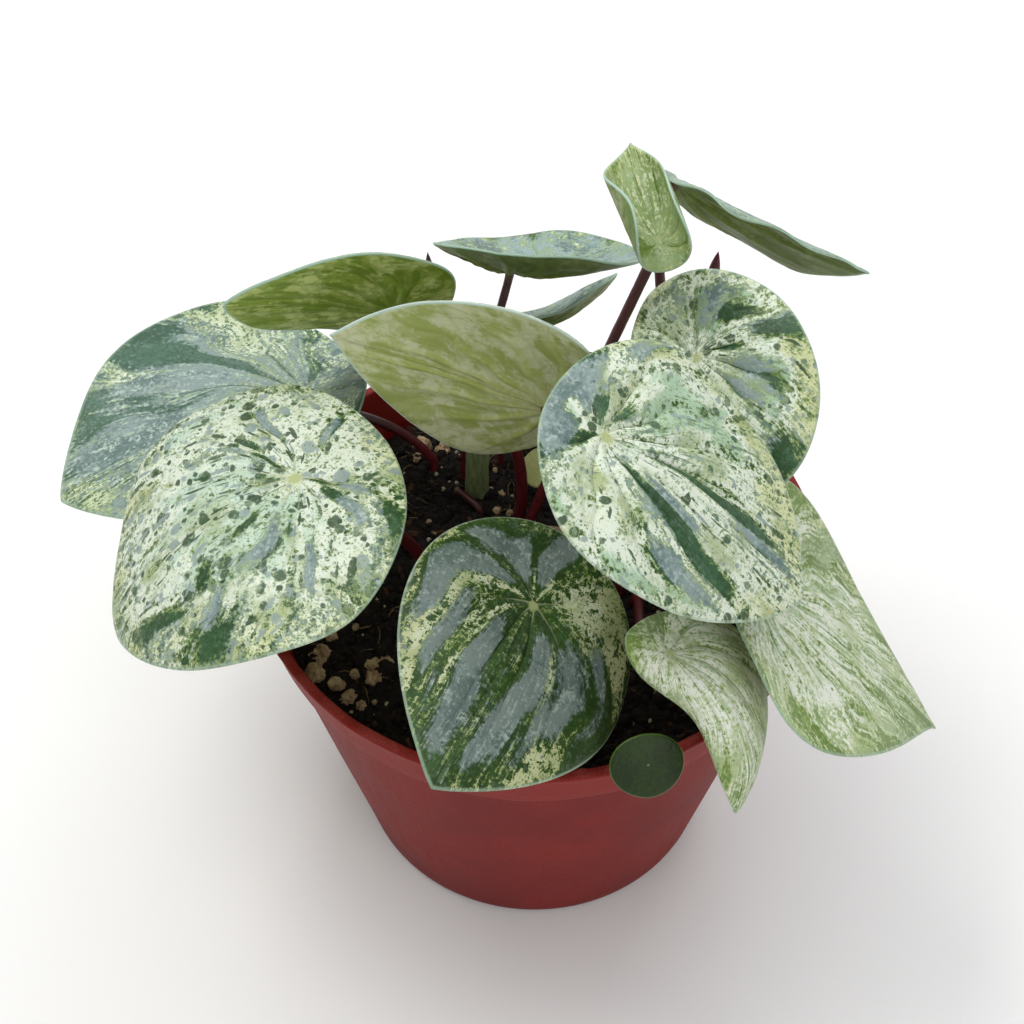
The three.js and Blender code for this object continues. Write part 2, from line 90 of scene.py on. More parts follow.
def srgb(red: int, green: int, blue: int) -> Colour:
    """Turns a colour as it is seen on a screen into linear light.

    Args:
        red: Red, 0 to 255.
        green: Green, 0 to 255.
        blue: Blue, 0 to 255.

    Returns:
        The linear colour.
    """
    knee, foot, gain, offset, power = 0.04045, 12.92, 1.055, 0.055, 2.4
    shares = (value / 255 for value in (red, green, blue))
    return tuple(s / foot if s <= knee else ((s + offset) / gain) ** power for s in shares)


# ---- node benches


class Wiring:
    """Adds nodes to one tree and wires them together."""

    def __init__(self, tree: bpy.types.NodeTree) -> None:
        """Starts on a tree."""
        self.tree = tree

    def feed(self, socket: Socket, value: object) -> None:
        """Links a socket, or sets its constant.

        Args:
            socket: The input to feed.
            value: Another node's output, or a plain value.
        """
        if isinstance(value, Socket):
            self.tree.links.new(value, socket)
            return
        if socket.type == "RGBA" and len(value) == 3:
            value = (*value, 1.0)
        socket.default_value = value

    def node(self, kind: str, inputs: dict[object, object], **settings: object) -> Node:
        """Adds a node.

        Args:
            kind: The node's type.
            inputs: What feeds each input, by name or by index.
            **settings: The node's own properties.

        Returns:
            The new node.
        """
        made = self.tree.nodes.new(kind)
        for key, value in settings.items():
            setattr(made, key, value)
        for key, value in inputs.items():
            self.feed(made.inputs[key], value)
        return made

    def join(self, x: object, y: object, z: object) -> Socket:
        """A vector from its three parts."""
        return self.node("ShaderNodeCombineXYZ", {0: x, 1: y, 2: z}).outputs[0]

    def scaled(self, vector: object, factor: object) -> Socket:
        """A vector made longer or shorter."""
        return self.node("ShaderNodeVectorMath", {0: vector, "Scale": factor}, operation="SCALE").outputs[0]

    def moved(self, vector: object, offset: object) -> Socket:
        """A vector with another one added."""
        return self.node("ShaderNodeVectorMath", {0: vector, 1: offset}, operation="ADD").outputs[0]

    def stretched(self, vector: object, factors: object) -> Socket:
        """A vector with its own factor on each axis."""
        return self.node("ShaderNodeVectorMath", {0: vector, 1: factors}, operation="MULTIPLY").outputs[0]

    def math(self, operation: str, a: object, b: object = 0.0, c: object = 0.0) -> Socket:
        """A sum or function of numbers."""
        return self.node("ShaderNodeMath", {0: a, 1: b, 2: c}, operation=operation).outputs[0]

    def times(self, a: object, b: object) -> Socket:
        """The product of two numbers."""
        return self.math("MULTIPLY", a, b)

    def layer(self, value: object, weight: object, below: object) -> Socket:
        """A value, by its weight, added to what lies below."""
        return self.math("MULTIPLY_ADD", value, weight, below)

    def step(self, value: object, low: object, high: object) -> Socket:
        """A smooth step from 0 at low to 1 at high."""
        wires = {"Value": value, "From Min": low, "From Max": high}
        return self.node("ShaderNodeMapRange", wires, interpolation_type="SMOOTHSTEP").outputs["Result"]


class Bench(Wiring):
    """The bench that one material is wired on."""

    def __init__(self, name: str) -> None:
        """Makes a fresh material of that name."""
        self.material = bpy.data.materials.new(name)
        self.material.use_nodes = True
        super().__init__(self.material.node_tree)
        self.tree.nodes.clear()

    def attribute(self, name: str) -> Socket:
        """Reads one of the mesh's own attributes as a vector."""
        return self.node("ShaderNodeAttribute", {}, attribute_name=name).outputs["Vector"]

    def position(self) -> Socket:
        """Object coordinates in millimetres."""
        return self.scaled(self.node("ShaderNodeTexCoord", {}).outputs["Object"], 1 / MM)

    def split(self, vector: Socket) -> list[Socket]:
        """The three parts of a vector."""
        return list(self.node("ShaderNodeSeparateXYZ", {0: vector}).outputs)

    def noise(self, vector: object, scale: float, detail: float, rough: float = 0.55) -> Node:
        """Fractal noise: its first output is the value, its second a colour."""
        wires = {"Vector": vector, "Scale": scale, "Detail": detail, "Roughness": rough}
        return self.node("ShaderNodeTexNoise", wires)

    def centred(self, noise: Node) -> Socket:
        """A noise's value, moved to lie about zero."""
        return self.math("SUBTRACT", noise.outputs[0], 0.5)

    def cells(self, vector: object, scale: float, feature: str = "F1") -> Node:
        """A field of round cells, or with DISTANCE_TO_EDGE the net between them."""
        return self.node("ShaderNodeTexVoronoi", {"Vector": vector, "Scale": scale}, feature=feature)

    def beside(self, turn: Socket, share: Socket, veins: int) -> Socket:
        """How far a point of a blade lies beside the nearest vein.

        Args:
            turn: Its angle about the navel.
            share: How far out it is, 0 to 1.
            veins: How many veins leave the navel.

        Returns:
            The distance, about 1 for a millimetre on a large blade.
        """
        beat = self.times(turn, veins / math.tau)
        near = self.math("PINGPONG", self.math("ADD", beat, float(veins)), 0.5)
        return self.times(self.times(near, share), 220.0 / veins)

    def mix(self, share: object, first: object, second: object) -> Socket:
        """Blends two colours; the share is how much of the second shows."""
        return self.node("ShaderNodeMix", {0: share, 6: first, 7: second}, data_type="RGBA").outputs[2]

    def over(self, colour: object, paint: object, amount: float, *rise: object) -> Socket:
        """Lays so much of a colour over another where a value rises: rise is the value, low and high."""
        return self.mix(self.times(self.step(*rise), amount), colour, paint)

    def blend(self, share: object, first: object, second: object) -> Socket:
        """Blends two numbers; the share is how much of the second counts."""
        return self.node("ShaderNodeMix", {0: share, 2: first, 3: second}, data_type="FLOAT").outputs[0]

    def finish(self, colour: object, roughness: object, height: object, depth: float,
               **constants: object) -> Material:
        """Ends the material in one surface shader.

        Args:
            colour: The base colour.
            roughness: The roughness.
            height: The height of the fine relief, 0 to 1.
            depth: How deep that relief is, in millimetres.
            **constants: Values set straight on the shader's sockets, spaces written as underscores.

        Returns:
            The finished material.
        """
        bump = self.node("ShaderNodeBump", {"Height": height, "Distance": depth * MM, "Strength": 1.0})
        shader = self.node("ShaderNodeBsdfPrincipled", {"Base Color": colour, "Roughness": roughness})
        self.feed(shader.inputs["Normal"], bump.outputs[0])
        for key, value in constants.items():
            shader.inputs[key.replace("_", " ")].default_value = value
        self.node("ShaderNodeOutputMaterial", {"Surface": shader.outputs[0]})
        return self.material


class Recipe(Wiring):
    """A Geometry Nodes tree: a guide goes in, and real pieces with their finish come out."""

    def __init__(self, name: str, sizes: dict[str, float]) -> None:
        """Makes the tree and its named inputs.

        Args:
            name: The tree's name.
            sizes: The inputs that are numbers, with their usual values.
        """
        super().__init__(bpy.data.node_groups.new(name, "GeometryNodeTree"))
        self.socket("Guide", "INPUT", "Geometry")
        for key, value in sizes.items():
            kind = "Int" if isinstance(value, int) else "Float"
            self.socket(key, "INPUT", kind).default_value = value
        self.socket("Finish", "INPUT", "Material")
        self.socket("Grown", "OUTPUT", "Geometry")
        self.entry = self.tree.nodes.new("NodeGroupInput").outputs

    def socket(self, name: str, way: str, kind: str) -> bpy.types.NodeTreeInterfaceSocket:
        """Adds one named input or output to the tree."""
        return self.tree.interface.new_socket(name, in_out=way, socket_type=f"NodeSocket{kind}")

    def chance(self, kind: str, seed: int, low: object, high: object) -> Socket:
        """A random value for each point.

        Args:
            kind: FLOAT or FLOAT_VECTOR.
            seed: Picks the values.
            low: The least.
            high: The most.

        Returns:
            The value.
        """
        made = self.node("FunctionNodeRandomValue", {"Seed": seed}, data_type=kind)
        used = {socket.name: socket for socket in made.inputs if socket.enabled}
        self.feed(used["Min"], low)
        self.feed(used["Max"], high)
        return next(socket for socket in made.outputs if socket.enabled)

    def end(self, geometry: Socket, smooth: bool) -> None:
        """Ends the tree: the geometry is shaded, made real and given its finish.

        Args:
            geometry: What the tree has made.
            smooth: True for smooth shading.
        """
        shade = self.node("GeometryNodeSetShadeSmooth", {0: geometry, "Shade Smooth": smooth})
        real = self.node("GeometryNodeRealizeInstances", {0: shade.outputs[0]})
        dressed = {"Geometry": real.outputs[0], "Material": self.entry["Finish"]}
        paint = self.node("GeometryNodeSetMaterial", dressed)
        self.node("NodeGroupOutput", {"Grown": paint.outputs[0]})

    def grow(self, guide: Piece, name: str, **values: object) -> Piece:
        """Runs the tree on a guide and keeps the result as a plain mesh.

        Args:
            guide: The object that the tree starts from; it is removed afterwards.
            name: The new piece's name.
            **values: The tree's inputs by name.

        Returns:
            The piece, with its place in its mesh.
        """
        modifier = guide.modifiers.new("grow", "NODES")
        modifier.node_group = self.tree
        for item in self.tree.interface.items_tree:
            if item.item_type == "SOCKET" and item.in_out == "INPUT" and item.name in values:
                modifier[item.identifier] = values[item.name]
        guide.update_tag()
        bpy.context.view_layer.update()
        graph = bpy.context.evaluated_depsgraph_get()
        mesh = bpy.data.meshes.new_from_object(guide.evaluated_get(graph), depsgraph=graph)
        mesh.name = name
        guide.modifiers.remove(modifier)
        bpy.data.objects.remove(guide)
        return placed(bpy.data.objects.new(name, mesh))


def placed(thing: Piece) -> Piece:
    """Links an object into the scene."""
    bpy.context.scene.collection.objects.link(thing)
    return thing


# ---- leaf finishes


@dataclass(frozen=True)
class UpperFinish:
    """The marbled upper face: green on the veins, silver between, cream and specks over both.

    Dark and deep are its greens; pewter and silver its silvers, and glint the pale painted highlight
    specks over the silver; white, butter and mint its bleach; lace is the yellow-green where bleach
    and green meet. The shares say how much there is of a thing: frost and painted glint on the
    silver, fray, combing and graining of the borders, lacing of the bleach by fine ridges, wash of
    lace over it, specks, round dots (so many cells to a millimetre), blots along the veins, the pale
    star at the navel and the lines on the veins.
    """

    name: str
    seed: float = 0.0
    dark: Colour = srgb(62, 98, 66)
    deep: Colour = srgb(44, 74, 40)
    silver: Colour = srgb(144, 162, 158)
    pewter: Colour = srgb(98, 120, 116)
    # glint: the colour of the painted highlight specks laid on the silver
    glint: Colour = srgb(204, 218, 210)
    white: Colour = srgb(220, 229, 212)
    butter: Colour = srgb(210, 215, 168)
    mint: Colour = srgb(160, 192, 162)
    lace: Colour = srgb(138, 160, 88)
    edge: Colour = srgb(170, 194, 172)
    frost_and_glint: float = 0.5
    fray: float = 0.9
    combing: float = 0.9
    graining: float = 0.8
    lacing: float = 0.3
    soft: float = 0.1
    wash: float = 0.4
    specks: float = 0.5
    dots: float = 0.3
    dot_cells: float = 0.36
    blots: float = 0.3
    star: float = 0.6
    lines: float = 0.3
    veins: int = 11

    def build(self) -> Material:
        """Builds the material."""
        return UpperFace(self).dress()


class UpperFace(Bench):
    """The bench of one upper face, with the blade's measures and the noises over them.

    Flat is in millimetres on the flattened blade. Vein turns with the veins: its first two parts
    are the cosine and sine of the turn about the navel, its third the share of the way out. The
    noises lie about zero.
    """

    def __init__(self, look: UpperFinish) -> None:
        """Reads the measures, lays the noises, and finds where silver, bleach and veins lie.

        Args:
            look: The face's colours and amounts.
        """
        super().__init__(look.name)
        self.look = look
        self.shift = (7.3 * look.seed, 3.1 * look.seed, 5.7 * look.seed)
        self.flat = self.moved(self.attribute("flat"), self.shift)
        self.vein = self.attribute("vein")
        cosine, sine, self.share = self.split(self.vein)
        turn = self.math("ARCTAN2", sine, cosine)
        self.drift = self.centred(self.noise(self.polar(7.0, 3.0), 1.0, 4.0, 0.6))
        self.comb = self.centred(self.noise(self.polar(26.0, 7.0), 1.0, 4.0, 0.62))
        self.grit = self.noise(self.flat, 1.1, 4.0, 0.65)
        self.grain = self.centred(self.grit)
        self.dust = self.centred(self.noise(self.flat, 1.7, 2.0, 0.5))
        self.tide = self.centred(self.noise(self.flat, 0.1, 3.0, 0.5))
        self.wisps = self.centred(self.noise(self.flat, 0.42, 4.0, 0.7))
        band, cream, self.warm = self.split(self.attribute("tone"))
        ragged = self.layer(self.comb, look.combing, self.times(self.drift, 1.1))
        ragged = self.layer(self.grain, look.graining, ragged)
        self.silvered = self.step(self.layer(ragged, look.fray, band), 0.28, 0.72)
        ridges = self.layer(self.math("ABSOLUTE", self.wisps), -6.0, 0.35)
        self.bleach = self.layer(ridges, look.lacing, self.math("ADD", cream, ragged))
        self.bleached = self.step(self.bleach, 0.5 - look.soft, 0.5 + look.soft)
        self.ray = self.step(self.beside(turn, self.share, look.veins), 0.5, 0.1)

    def polar(self, around: float, outwards: float) -> Socket:
        """A coordinate that runs with the veins, with its scales about the navel and away from it."""
        return self.moved(self.stretched(self.vein, (around, around, outwards)), self.shift)

    def dress(self) -> Material:
        """Wires the whole face.

        Returns:
            The material.
        """
        look = self.look
        fringe = self.times(self.step(self.bleach, 0.2, 0.48), 0.75)
        ground = self.mix(fringe, self.ground(), look.lace)
        colour = self.flecked(self.mix(self.bleached, ground, self.pale()))
        relief = self.layer(self.dust, 0.7, self.times(self.grit.outputs[0], 0.6))
        relief = self.layer(self.ray, -1.2 * look.lines, relief)
        matt = self.blend(self.bleached, self.blend(self.silvered, 0.36, 0.44), 0.48)
        matt = self.layer(self.grain, 0.25, matt)
        return self.finish(
            self.veined(colour), matt, relief, 0.2, IOR=1.45, Specular_IOR_Level=0.35,
            Coat_Weight=0.05, Coat_Roughness=0.35,
            Subsurface_Weight=0.1, Subsurface_Radius=(1.2, 1.6, 0.6), Subsurface_Scale=MM)

    def ground(self) -> Socket:
        """The green and the frosted silver, with painted highlight specks of glint on the silver.

        Returns:
            The colour.
        """
        look, tide, grain = self.look, self.tide, self.grain
        greens = self.mix(self.step(self.math("ADD", tide, grain), -0.16, 0.2), look.deep, look.dark)
        # Frost mask: lays a little silver over the green as frost, and the glint colour over the silver as
        # painted highlight specks.
        frost_and_glint_noise = self.layer(self.dust, 0.7, self.layer(self.comb, 1.1, grain))
        frost_and_glint_noise = self.layer(self.wisps, 0.9, frost_and_glint_noise)
        frost_and_glint_mask = self.times(self.step(frost_and_glint_noise, 0.02, 0.34), look.frost_and_glint)
        shimmer = self.layer(grain, 1.2, self.layer(tide, 1.6, self.drift))
        scales = self.mix(self.step(shimmer, -0.34, 0.2), look.pewter, look.silver)
        greens = self.mix(self.times(frost_and_glint_mask, 0.35), greens, look.silver)
        return self.mix(self.silvered, greens, self.mix(frost_and_glint_mask, scales, look.glint))

    def pale(self) -> Socket:
        """The bleached colour: white to butter where warm, mint where cool, washed with lace.

        Returns:
            The colour.
        """
        look = self.look
        tint = self.layer(self.drift, 1.5, self.math("ADD", self.warm, self.tide))
        pale = self.mix(self.step(tint, 0.15, 0.7), look.white, look.butter)
        pale = self.over(pale, look.mint, 0.85, tint, -0.02, -0.3)
        cloud = self.layer(self.tide, 1.4, self.layer(self.grain, 0.4, self.wisps))
        washed = self.times(self.step(cloud, -0.02, 0.26), look.wash)
        return self.mix(washed, pale, look.lace)

    def flecked(self, colour: Socket) -> Socket:
        """Dusts the bleach with specks and lays its small, large and drawn-out spots.

        Args:
            colour: The colour below.

        Returns:
            The colour.
        """
        look = self.look
        dusting = self.layer(self.grain, 0.5, self.layer(self.drift, 0.35, self.dust))
        limit = 0.2 - 0.17 * look.specks
        speck = self.times(self.step(dusting, limit, limit + 0.12), self.bleached)
        speck = self.times(speck, self.blend(self.step(self.wisps, -0.2, 0.08), 0.35, 1.0))
        speckled = self.mix(self.step(dusting, limit + 0.06, limit + 0.18), look.lace, look.dark)
        colour = self.mix(self.times(speck, 0.85), colour, speckled)

        wobble = self.grit.outputs[1]
        bent = self.moved(self.flat, self.scaled(wobble, 0.32 / look.dot_cells))
        small = self.cells(self.moved(bent, (5.0, 9.0, 0.0)), 2 * look.dot_cells)
        colour = self.spotted(colour, small, 0.9 * look.dots, (0.16, 0.24))
        colour = self.spotted(colour, self.cells(bent, look.dot_cells), look.dots, (0.17, 0.28))
        swirl = self.moved(self.polar(13.0, 8.0), self.scaled(wobble, 0.5))
        return self.spotted(colour, self.cells(swirl, 1.0), look.blots, (0.16, 0.3))

    def spotted(self, colour: Socket, cells: Node, chosen: float, girth: tuple[float, float]) -> Socket:
        """Lays green and silver spots on the bleach.

        Args:
            colour: The colour below.
            cells: The field of cells that the spots sit in.
            chosen: The share of the cells that hold a spot.
            girth: The smallest radius and the most that is added to it, in cells.

        Returns:
            The spotted colour.
        """
        look = self.look
        chance, size, hue = self.split(cells.outputs[1])
        radius = self.layer(size, girth[1], girth[0])
        inside = self.step(self.math("SUBTRACT", cells.outputs[0], radius), 0.06, -0.05)
        kept = self.step(chance, chosen + 0.01, chosen - 0.01)
        spot = self.times(self.times(inside, kept), self.bleached)
        tone = self.mix(self.step(hue, 0.6, 0.62), self.mix(size, look.dark, look.deep), look.silver)
        return self.mix(self.times(spot, 0.92), colour, tone)

    def veined(self, colour: Socket) -> Socket:
        """Draws the veins, the star and the navel, dims the face in clouds and pales its rim.

        Args:
            colour: The colour below.

        Returns:
            The colour.
        """
        look, share, ray = self.look, self.share, self.ray
        line = self.times(self.times(ray, self.step(share, 1.0, 0.4)), look.lines)
        colour = self.mix(line, colour, self.mix(self.bleached, look.deep, look.lace))
        star = self.times(self.times(ray, self.step(share, 0.36, 0.08)), look.star)
        colour = self.mix(star, colour, look.butter)
        colour = self.mix(self.step(share, 0.05, 0.03), colour, self.mix(0.5, look.lace, look.butter))
        dim = self.layer(self.tide, 1.6, self.layer(self.grain, 0.5, self.drift))
        colour = self.over(colour, look.deep, 0.16, dim, 0.0, 0.4)
        return self.over(colour, look.edge, 0.5, share, 0.984, 0.998)


@dataclass(frozen=True)
class UnderFinish:
    """The olive underside, with paler blotches and the veins showing through.

    Pallor is how much of it the pale blotches cover, and showing how plain the veins are.
    """

    name: str
    seed: float = 0.0
    olive: Colour = srgb(150, 160, 88)
    moss: Colour = srgb(126, 140, 62)
    pale: Colour = srgb(188, 192, 152)
    vein: Colour = srgb(136, 152, 60)
    edge: Colour = srgb(176, 204, 190)
    navel: Colour = srgb(126, 60, 52)
    pallor: float = 0.5
    showing: float = 0.45
    veins: int = 11

    def build(self) -> Material:
        """Builds the material.

        Returns:
            The material.
        """
        bench = Bench(self.name)
        shift = (2.9 * self.seed, 8.3 * self.seed, 1.7 * self.seed)
        flat = bench.moved(bench.attribute("flat"), shift)
        vein = bench.attribute("vein")
        cosine, sine, share = bench.split(vein)
        polar = bench.moved(bench.stretched(vein, (6.0, 6.0, 4.0)), shift)
        drift = bench.centred(bench.noise(polar, 1.0, 5.0, 0.6))
        grit = bench.noise(flat, 0.5, 6.0, 0.65)
        grain = bench.centred(grit)
        fine = bench.noise(flat, 2.4, 3.0, 0.6)
        tide = bench.centred(bench.noise(flat, 0.12, 3.0, 0.55))
        colour = bench.mix(bench.step(drift, -0.12, 0.1), self.moss, self.olive)
        blotch = bench.layer(drift, 1.0, bench.layer(grain, 1.3, self.pallor))
        colour = bench.over(colour, self.pale, 0.8, bench.layer(tide, 2.0, blotch), 0.38, 0.8)

        wander = bench.layer(grain, 0.3, bench.math("ARCTAN2", sine, cosine))
        ray = bench.step(bench.beside(wander, share, self.veins), 1.9, 0.2)
        faded = bench.times(bench.times(ray, bench.step(share, 0.95, 0.5)), self.showing)
        colour = bench.mix(faded, colour, self.vein)
        net = bench.cells(bench.moved(flat, bench.scaled(grit.outputs[1], 3.0)), 0.2, "DISTANCE_TO_EDGE")
        colour = bench.over(colour, self.moss, 0.28, net.outputs[0], 0.12, 0.02)
        colour = bench.mix(bench.step(share, 0.05, 0.03), colour, self.navel)
        colour = bench.mix(bench.step(share, 0.982, 0.997), colour, self.edge)
        relief = bench.layer(fine.outputs[0], 0.5, bench.times(grit.outputs[0], 0.5))
        relief = bench.layer(ray, 0.4, relief)
        return bench.finish(
            colour, bench.layer(grain, 0.2, 0.56), relief, 0.14, IOR=1.42, Subsurface_Weight=0.12,
            Subsurface_Radius=(1.2, 1.6, 0.6), Subsurface_Scale=MM)


# ---- other finishes


@dataclass(frozen=True)
class StalkFinish:
    """Crimson, fleshy, with lengthwise streaks, and yellowish where it meets its blade.

    Shade is the painted shade laid over the upper part of each stalk.
    """

    name: str = "stalk_crimson"
    bright: Colour = srgb(122, 36, 42)
    dark: Colour = srgb(80, 26, 31)
    # painted shade: the colour that the upper part of each stalk is darkened towards
    shade: Colour = srgb(52, 22, 26)
    end: Colour = srgb(128, 108, 70)

    def build(self) -> Material:
        """Builds the material.

        Returns:
            The material.
        """
        bench = Bench(self.name)
        along = bench.split(bench.attribute("sweep"))[0]
        place = bench.position()
        streak = bench.noise(bench.stretched(place, (2.2, 2.2, 0.25)), 1.0, 4.0, 0.6).outputs[0]
        dapple = bench.noise(place, 1.6, 4.0, 0.6).outputs[0]
        mixed = bench.layer(dapple, 0.5, bench.times(streak, 0.6))
        colour = bench.mix(bench.step(mixed, 0.4, 0.68), self.dark, self.bright)
        # Painted shade: darker from about halfway up the stalk towards its blade.
        colour = bench.over(colour, self.shade, 0.75, bench.layer(streak, 0.3, along), 0.4, 0.85)
        colour = bench.over(colour, self.end, 0.4, along, 0.95, 1.0)
        relief = bench.layer(streak, 0.7, bench.times(dapple, 0.3))
        return bench.finish(
            colour, bench.layer(dapple, 0.2, 0.28), relief, 0.12, IOR=1.45,
            Coat_Weight=0.2, Coat_Roughness=0.3,
            Subsurface_Weight=0.15, Subsurface_Radius=(1.6, 0.4, 0.3), Subsurface_Scale=MM)


@dataclass(frozen=True)
class StemFinish:
    """A fleshy green stem with lengthwise ribs and a paler, dry head."""

    name: str
    green: Colour = srgb(104, 122, 74)
    shade: Colour = srgb(62, 80, 42)
    dry: Colour = srgb(168, 160, 124)
    head: float = 101.0

    def build(self) -> Material:
        """Builds the material.

        Returns:
            The material.
        """
        bench = Bench(self.name)
        place = bench.position()
        streak = bench.noise(bench.stretched(place, (1.4, 1.4, 0.16)), 1.0, 5.0, 0.6).outputs[0]
        dapple = bench.noise(place, 0.9, 5.0, 0.65).outputs[0]
        colour = bench.mix(bench.step(streak, 0.38, 0.62), self.shade, self.green)
        above = bench.math("SUBTRACT", bench.split(place)[2], self.head)
        colour = bench.mix(bench.step(bench.layer(dapple, 4.0, above), -0.5, 3.2), colour, self.dry)
        colour = bench.over(colour, self.dry, 0.4, dapple, 0.55, 0.7)
        relief = bench.layer(streak, 0.7, bench.times(dapple, 0.5))
        return bench.finish(colour, bench.layer(dapple, 0.3, 0.42), relief, 0.35, IOR=1.42)


@dataclass(frozen=True)
class PotFinish:
    """Thin moulded brick-red plastic: satin, faintly mottled, with dust and old water marks.

    Rim and lip are the heights of the rim and of the foot of the lip band, in millimetres.
    """

    name: str = "pot_brick_red"
    red: Colour = srgb(126, 28, 23)
    deep: Colour = srgb(111, 22, 18)
    dust: Colour = srgb(150, 88, 76)
    band: Colour = srgb(144, 46, 40)
    scuff: Colour = srgb(172, 84, 76)
    darker_foot: Colour = srgb(70, 44, 38)
    rim: float = 95.0
    lip: float = 82.5

    def build(self) -> Material:
        """Builds the material.

        Returns:
            The material.
        """
        bench = Bench(self.name)
        place = bench.position()
        height = bench.split(place)[2]
        cloud = bench.noise(place, 0.035, 4.0, 0.6).outputs[0]
        runs = bench.noise(bench.stretched(place, (0.4, 0.4, 0.03)), 1.0, 4.0, 0.6).outputs[0]
        grit = bench.noise(place, 2.0, 5.0, 0.7).outputs[0]
        peel = bench.noise(place, 0.9, 2.0, 0.5).outputs[0]
        tone = bench.layer(runs, 0.15, bench.times(cloud, 0.95))
        colour = bench.mix(bench.step(tone, 0.35, 0.75), self.deep, self.red)
        colour = bench.over(colour, self.band, 0.5, height, self.lip - 0.3, self.lip + 0.5)
        stain = bench.layer(cloud, 0.5, bench.times(grit, 0.4))
        marks = bench.step(bench.layer(runs, 0.4, stain), 0.64, 0.86)
        colour = bench.mix(bench.times(marks, 0.16), colour, self.dust)
        worn = bench.layer(grit, 1.6, bench.math("SUBTRACT", height, self.rim))
        colour = bench.over(colour, self.scuff, 0.5, worn, 0.35, 1.0)
        # Darker towards the bottom of the pot.
        colour = bench.over(colour, self.darker_foot, 0.3, bench.layer(grit, 6.0, height), 7.0, 3.0)
        relief = bench.layer(peel, 0.6, bench.times(grit, 0.25))
        matt = bench.layer(marks, 0.18, bench.layer(grit, 0.22, 0.42))
        return bench.finish(colour, matt, relief, 0.12, IOR=1.45, Specular_IOR_Level=0.15)


@dataclass(frozen=True)
class CrumbFinish:
    """Something granular: peat, bark, pumice or a rootlet."""

    name: str
    dark: Colour
    light: Colour
    speck: Colour
    scale: float = 0.8
    speckle: float = 0.1
    roughness: float = 0.85

    def build(self) -> Material:
        """Builds the material.

        Returns:
            The material.
        """
        bench = Bench(self.name)
        place = bench.position()
        broad = bench.noise(place, self.scale * 0.3, 3.0, 0.6).outputs[0]
        grit = bench.noise(place, self.scale * 2.2, 6.0, 0.7).outputs[0]
        tone = bench.layer(broad, 0.7, bench.times(grit, 0.5))
        colour = bench.mix(bench.step(tone, 0.45, 0.75), self.dark, self.light)
        dots = bench.cells(place, self.scale * 1.6)
        kept = bench.step(bench.split(dots.outputs[1])[0], self.speckle, self.speckle - 0.02)
        dot = bench.times(bench.step(dots.outputs[0], 0.32, 0.16), kept)
        matt = bench.layer(grit, -0.15, self.roughness + 0.05)
        return bench.finish(bench.mix(dot, colour, self.speck), matt, grit, 0.5, IOR=1.4)


@dataclass(frozen=True)
class BudFinish:
    """A rolled young leaf, dark and waxy, a little green at its foot."""

    name: str
    dark: Colour = srgb(62, 42, 46)
    green: Colour = srgb(96, 108, 84)
    foot: float = 110.0
    tip: float = 118.0

    def build(self) -> Material:
        """Builds the material.

        Returns:
            The material.
        """
        bench = Bench(self.name)
        place = bench.position()
        streak = bench.noise(bench.stretched(place, (2.0, 2.0, 0.5)), 1.0, 4.0, 0.6).outputs[0]
        climb = bench.layer(streak, 4.0, bench.split(place)[2])
        colour = bench.mix(bench.step(climb, self.foot + 1.0, self.tip - 2.0), self.green, self.dark)
        return bench.finish(colour, bench.layer(streak, 0.25, 0.35), streak, 0.2, IOR=1.45)


# ---- meshes


def solid_piece(name: str, points: Array, faces: list[Face],
                materials: list[Material], smooth: bool = True) -> Piece:
    """Makes a mesh object at the origin.

    Args:
        name: The piece's name.
        points: Its vertices in metres, one row each.
        faces: The corners of each face.
        materials: Its materials, in the order of its slots.
        smooth: True for smooth shading.

    Returns:
        The object.
    """
    mesh = bpy.data.meshes.new(name)
    mesh.from_pydata(points.tolist(), [], faces)
    for material in materials:
        mesh.materials.append(material)
    mesh.polygons.foreach_set("use_smooth", [smooth] * len(mesh.polygons))
    mesh.update()
    return placed(bpy.data.objects.new(name, mesh))


def store(piece: Piece, name: str, values: Array) -> None:
    """Keeps three numbers for each vertex of a piece as a named attribute."""
    layer = piece.data.attributes.new(name, "FLOAT_VECTOR", "POINT")
    layer.data.foreach_set("vector", np.ascontiguousarray(values, np.float32).ravel())


def settle(piece: Piece, slot: Slot, *nodes: str) -> Piece:
    """Rides a finished piece on the plant's one body, and hides the solids that it replaces.

    Args:
        piece: The finished piece.
        slot: Not used.
        *nodes: The solids that it replaces.

    Returns:
        The piece.
    """
    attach(piece, BODY)
    if nodes:
        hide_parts(*nodes)
    log.info("%s: %d faces", piece.name, len(piece.data.polygons))
    return piece


def ripple_field(x: Array, y: Array, seed: int, waves: int, size: float) -> Array:
    """A smooth random field, from a handful of plane waves.

    Args:
        x: First coordinate, in millimetres.
        y: Second coordinate.
        seed: Picks the field.
        waves: How many waves are summed.
        size: The length of a typical wave, in millimetres.

    Returns:
        The field, mostly between -1 and 1.
    """
    chooser = random.Random(seed)
    total = np.zeros_like(x)
    for _ in range(waves):
        turn = chooser.uniform(0, math.tau)
        beat = math.tau / (size * chooser.uniform(0.6, 1.7))
        phase = chooser.uniform(0, math.tau)
        total += np.sin(beat * (x * math.cos(turn) + y * math.sin(turn)) + phase)
    return total / math.sqrt(waves)


# ---- leaves


@dataclass(frozen=True)
class Stroke:
    """One stroke of variegation that follows the veins.

    Angles are degrees from the tip, positive to the blade's left; start and end are shares of the
    way from the navel to the margin, and soft is how gently a stroke starts and ends.
    """

    ink: Ink
    angle: float
    spread: float
    start: float
    end: float
    strength: float = 0.8
    soft: float = 0.08


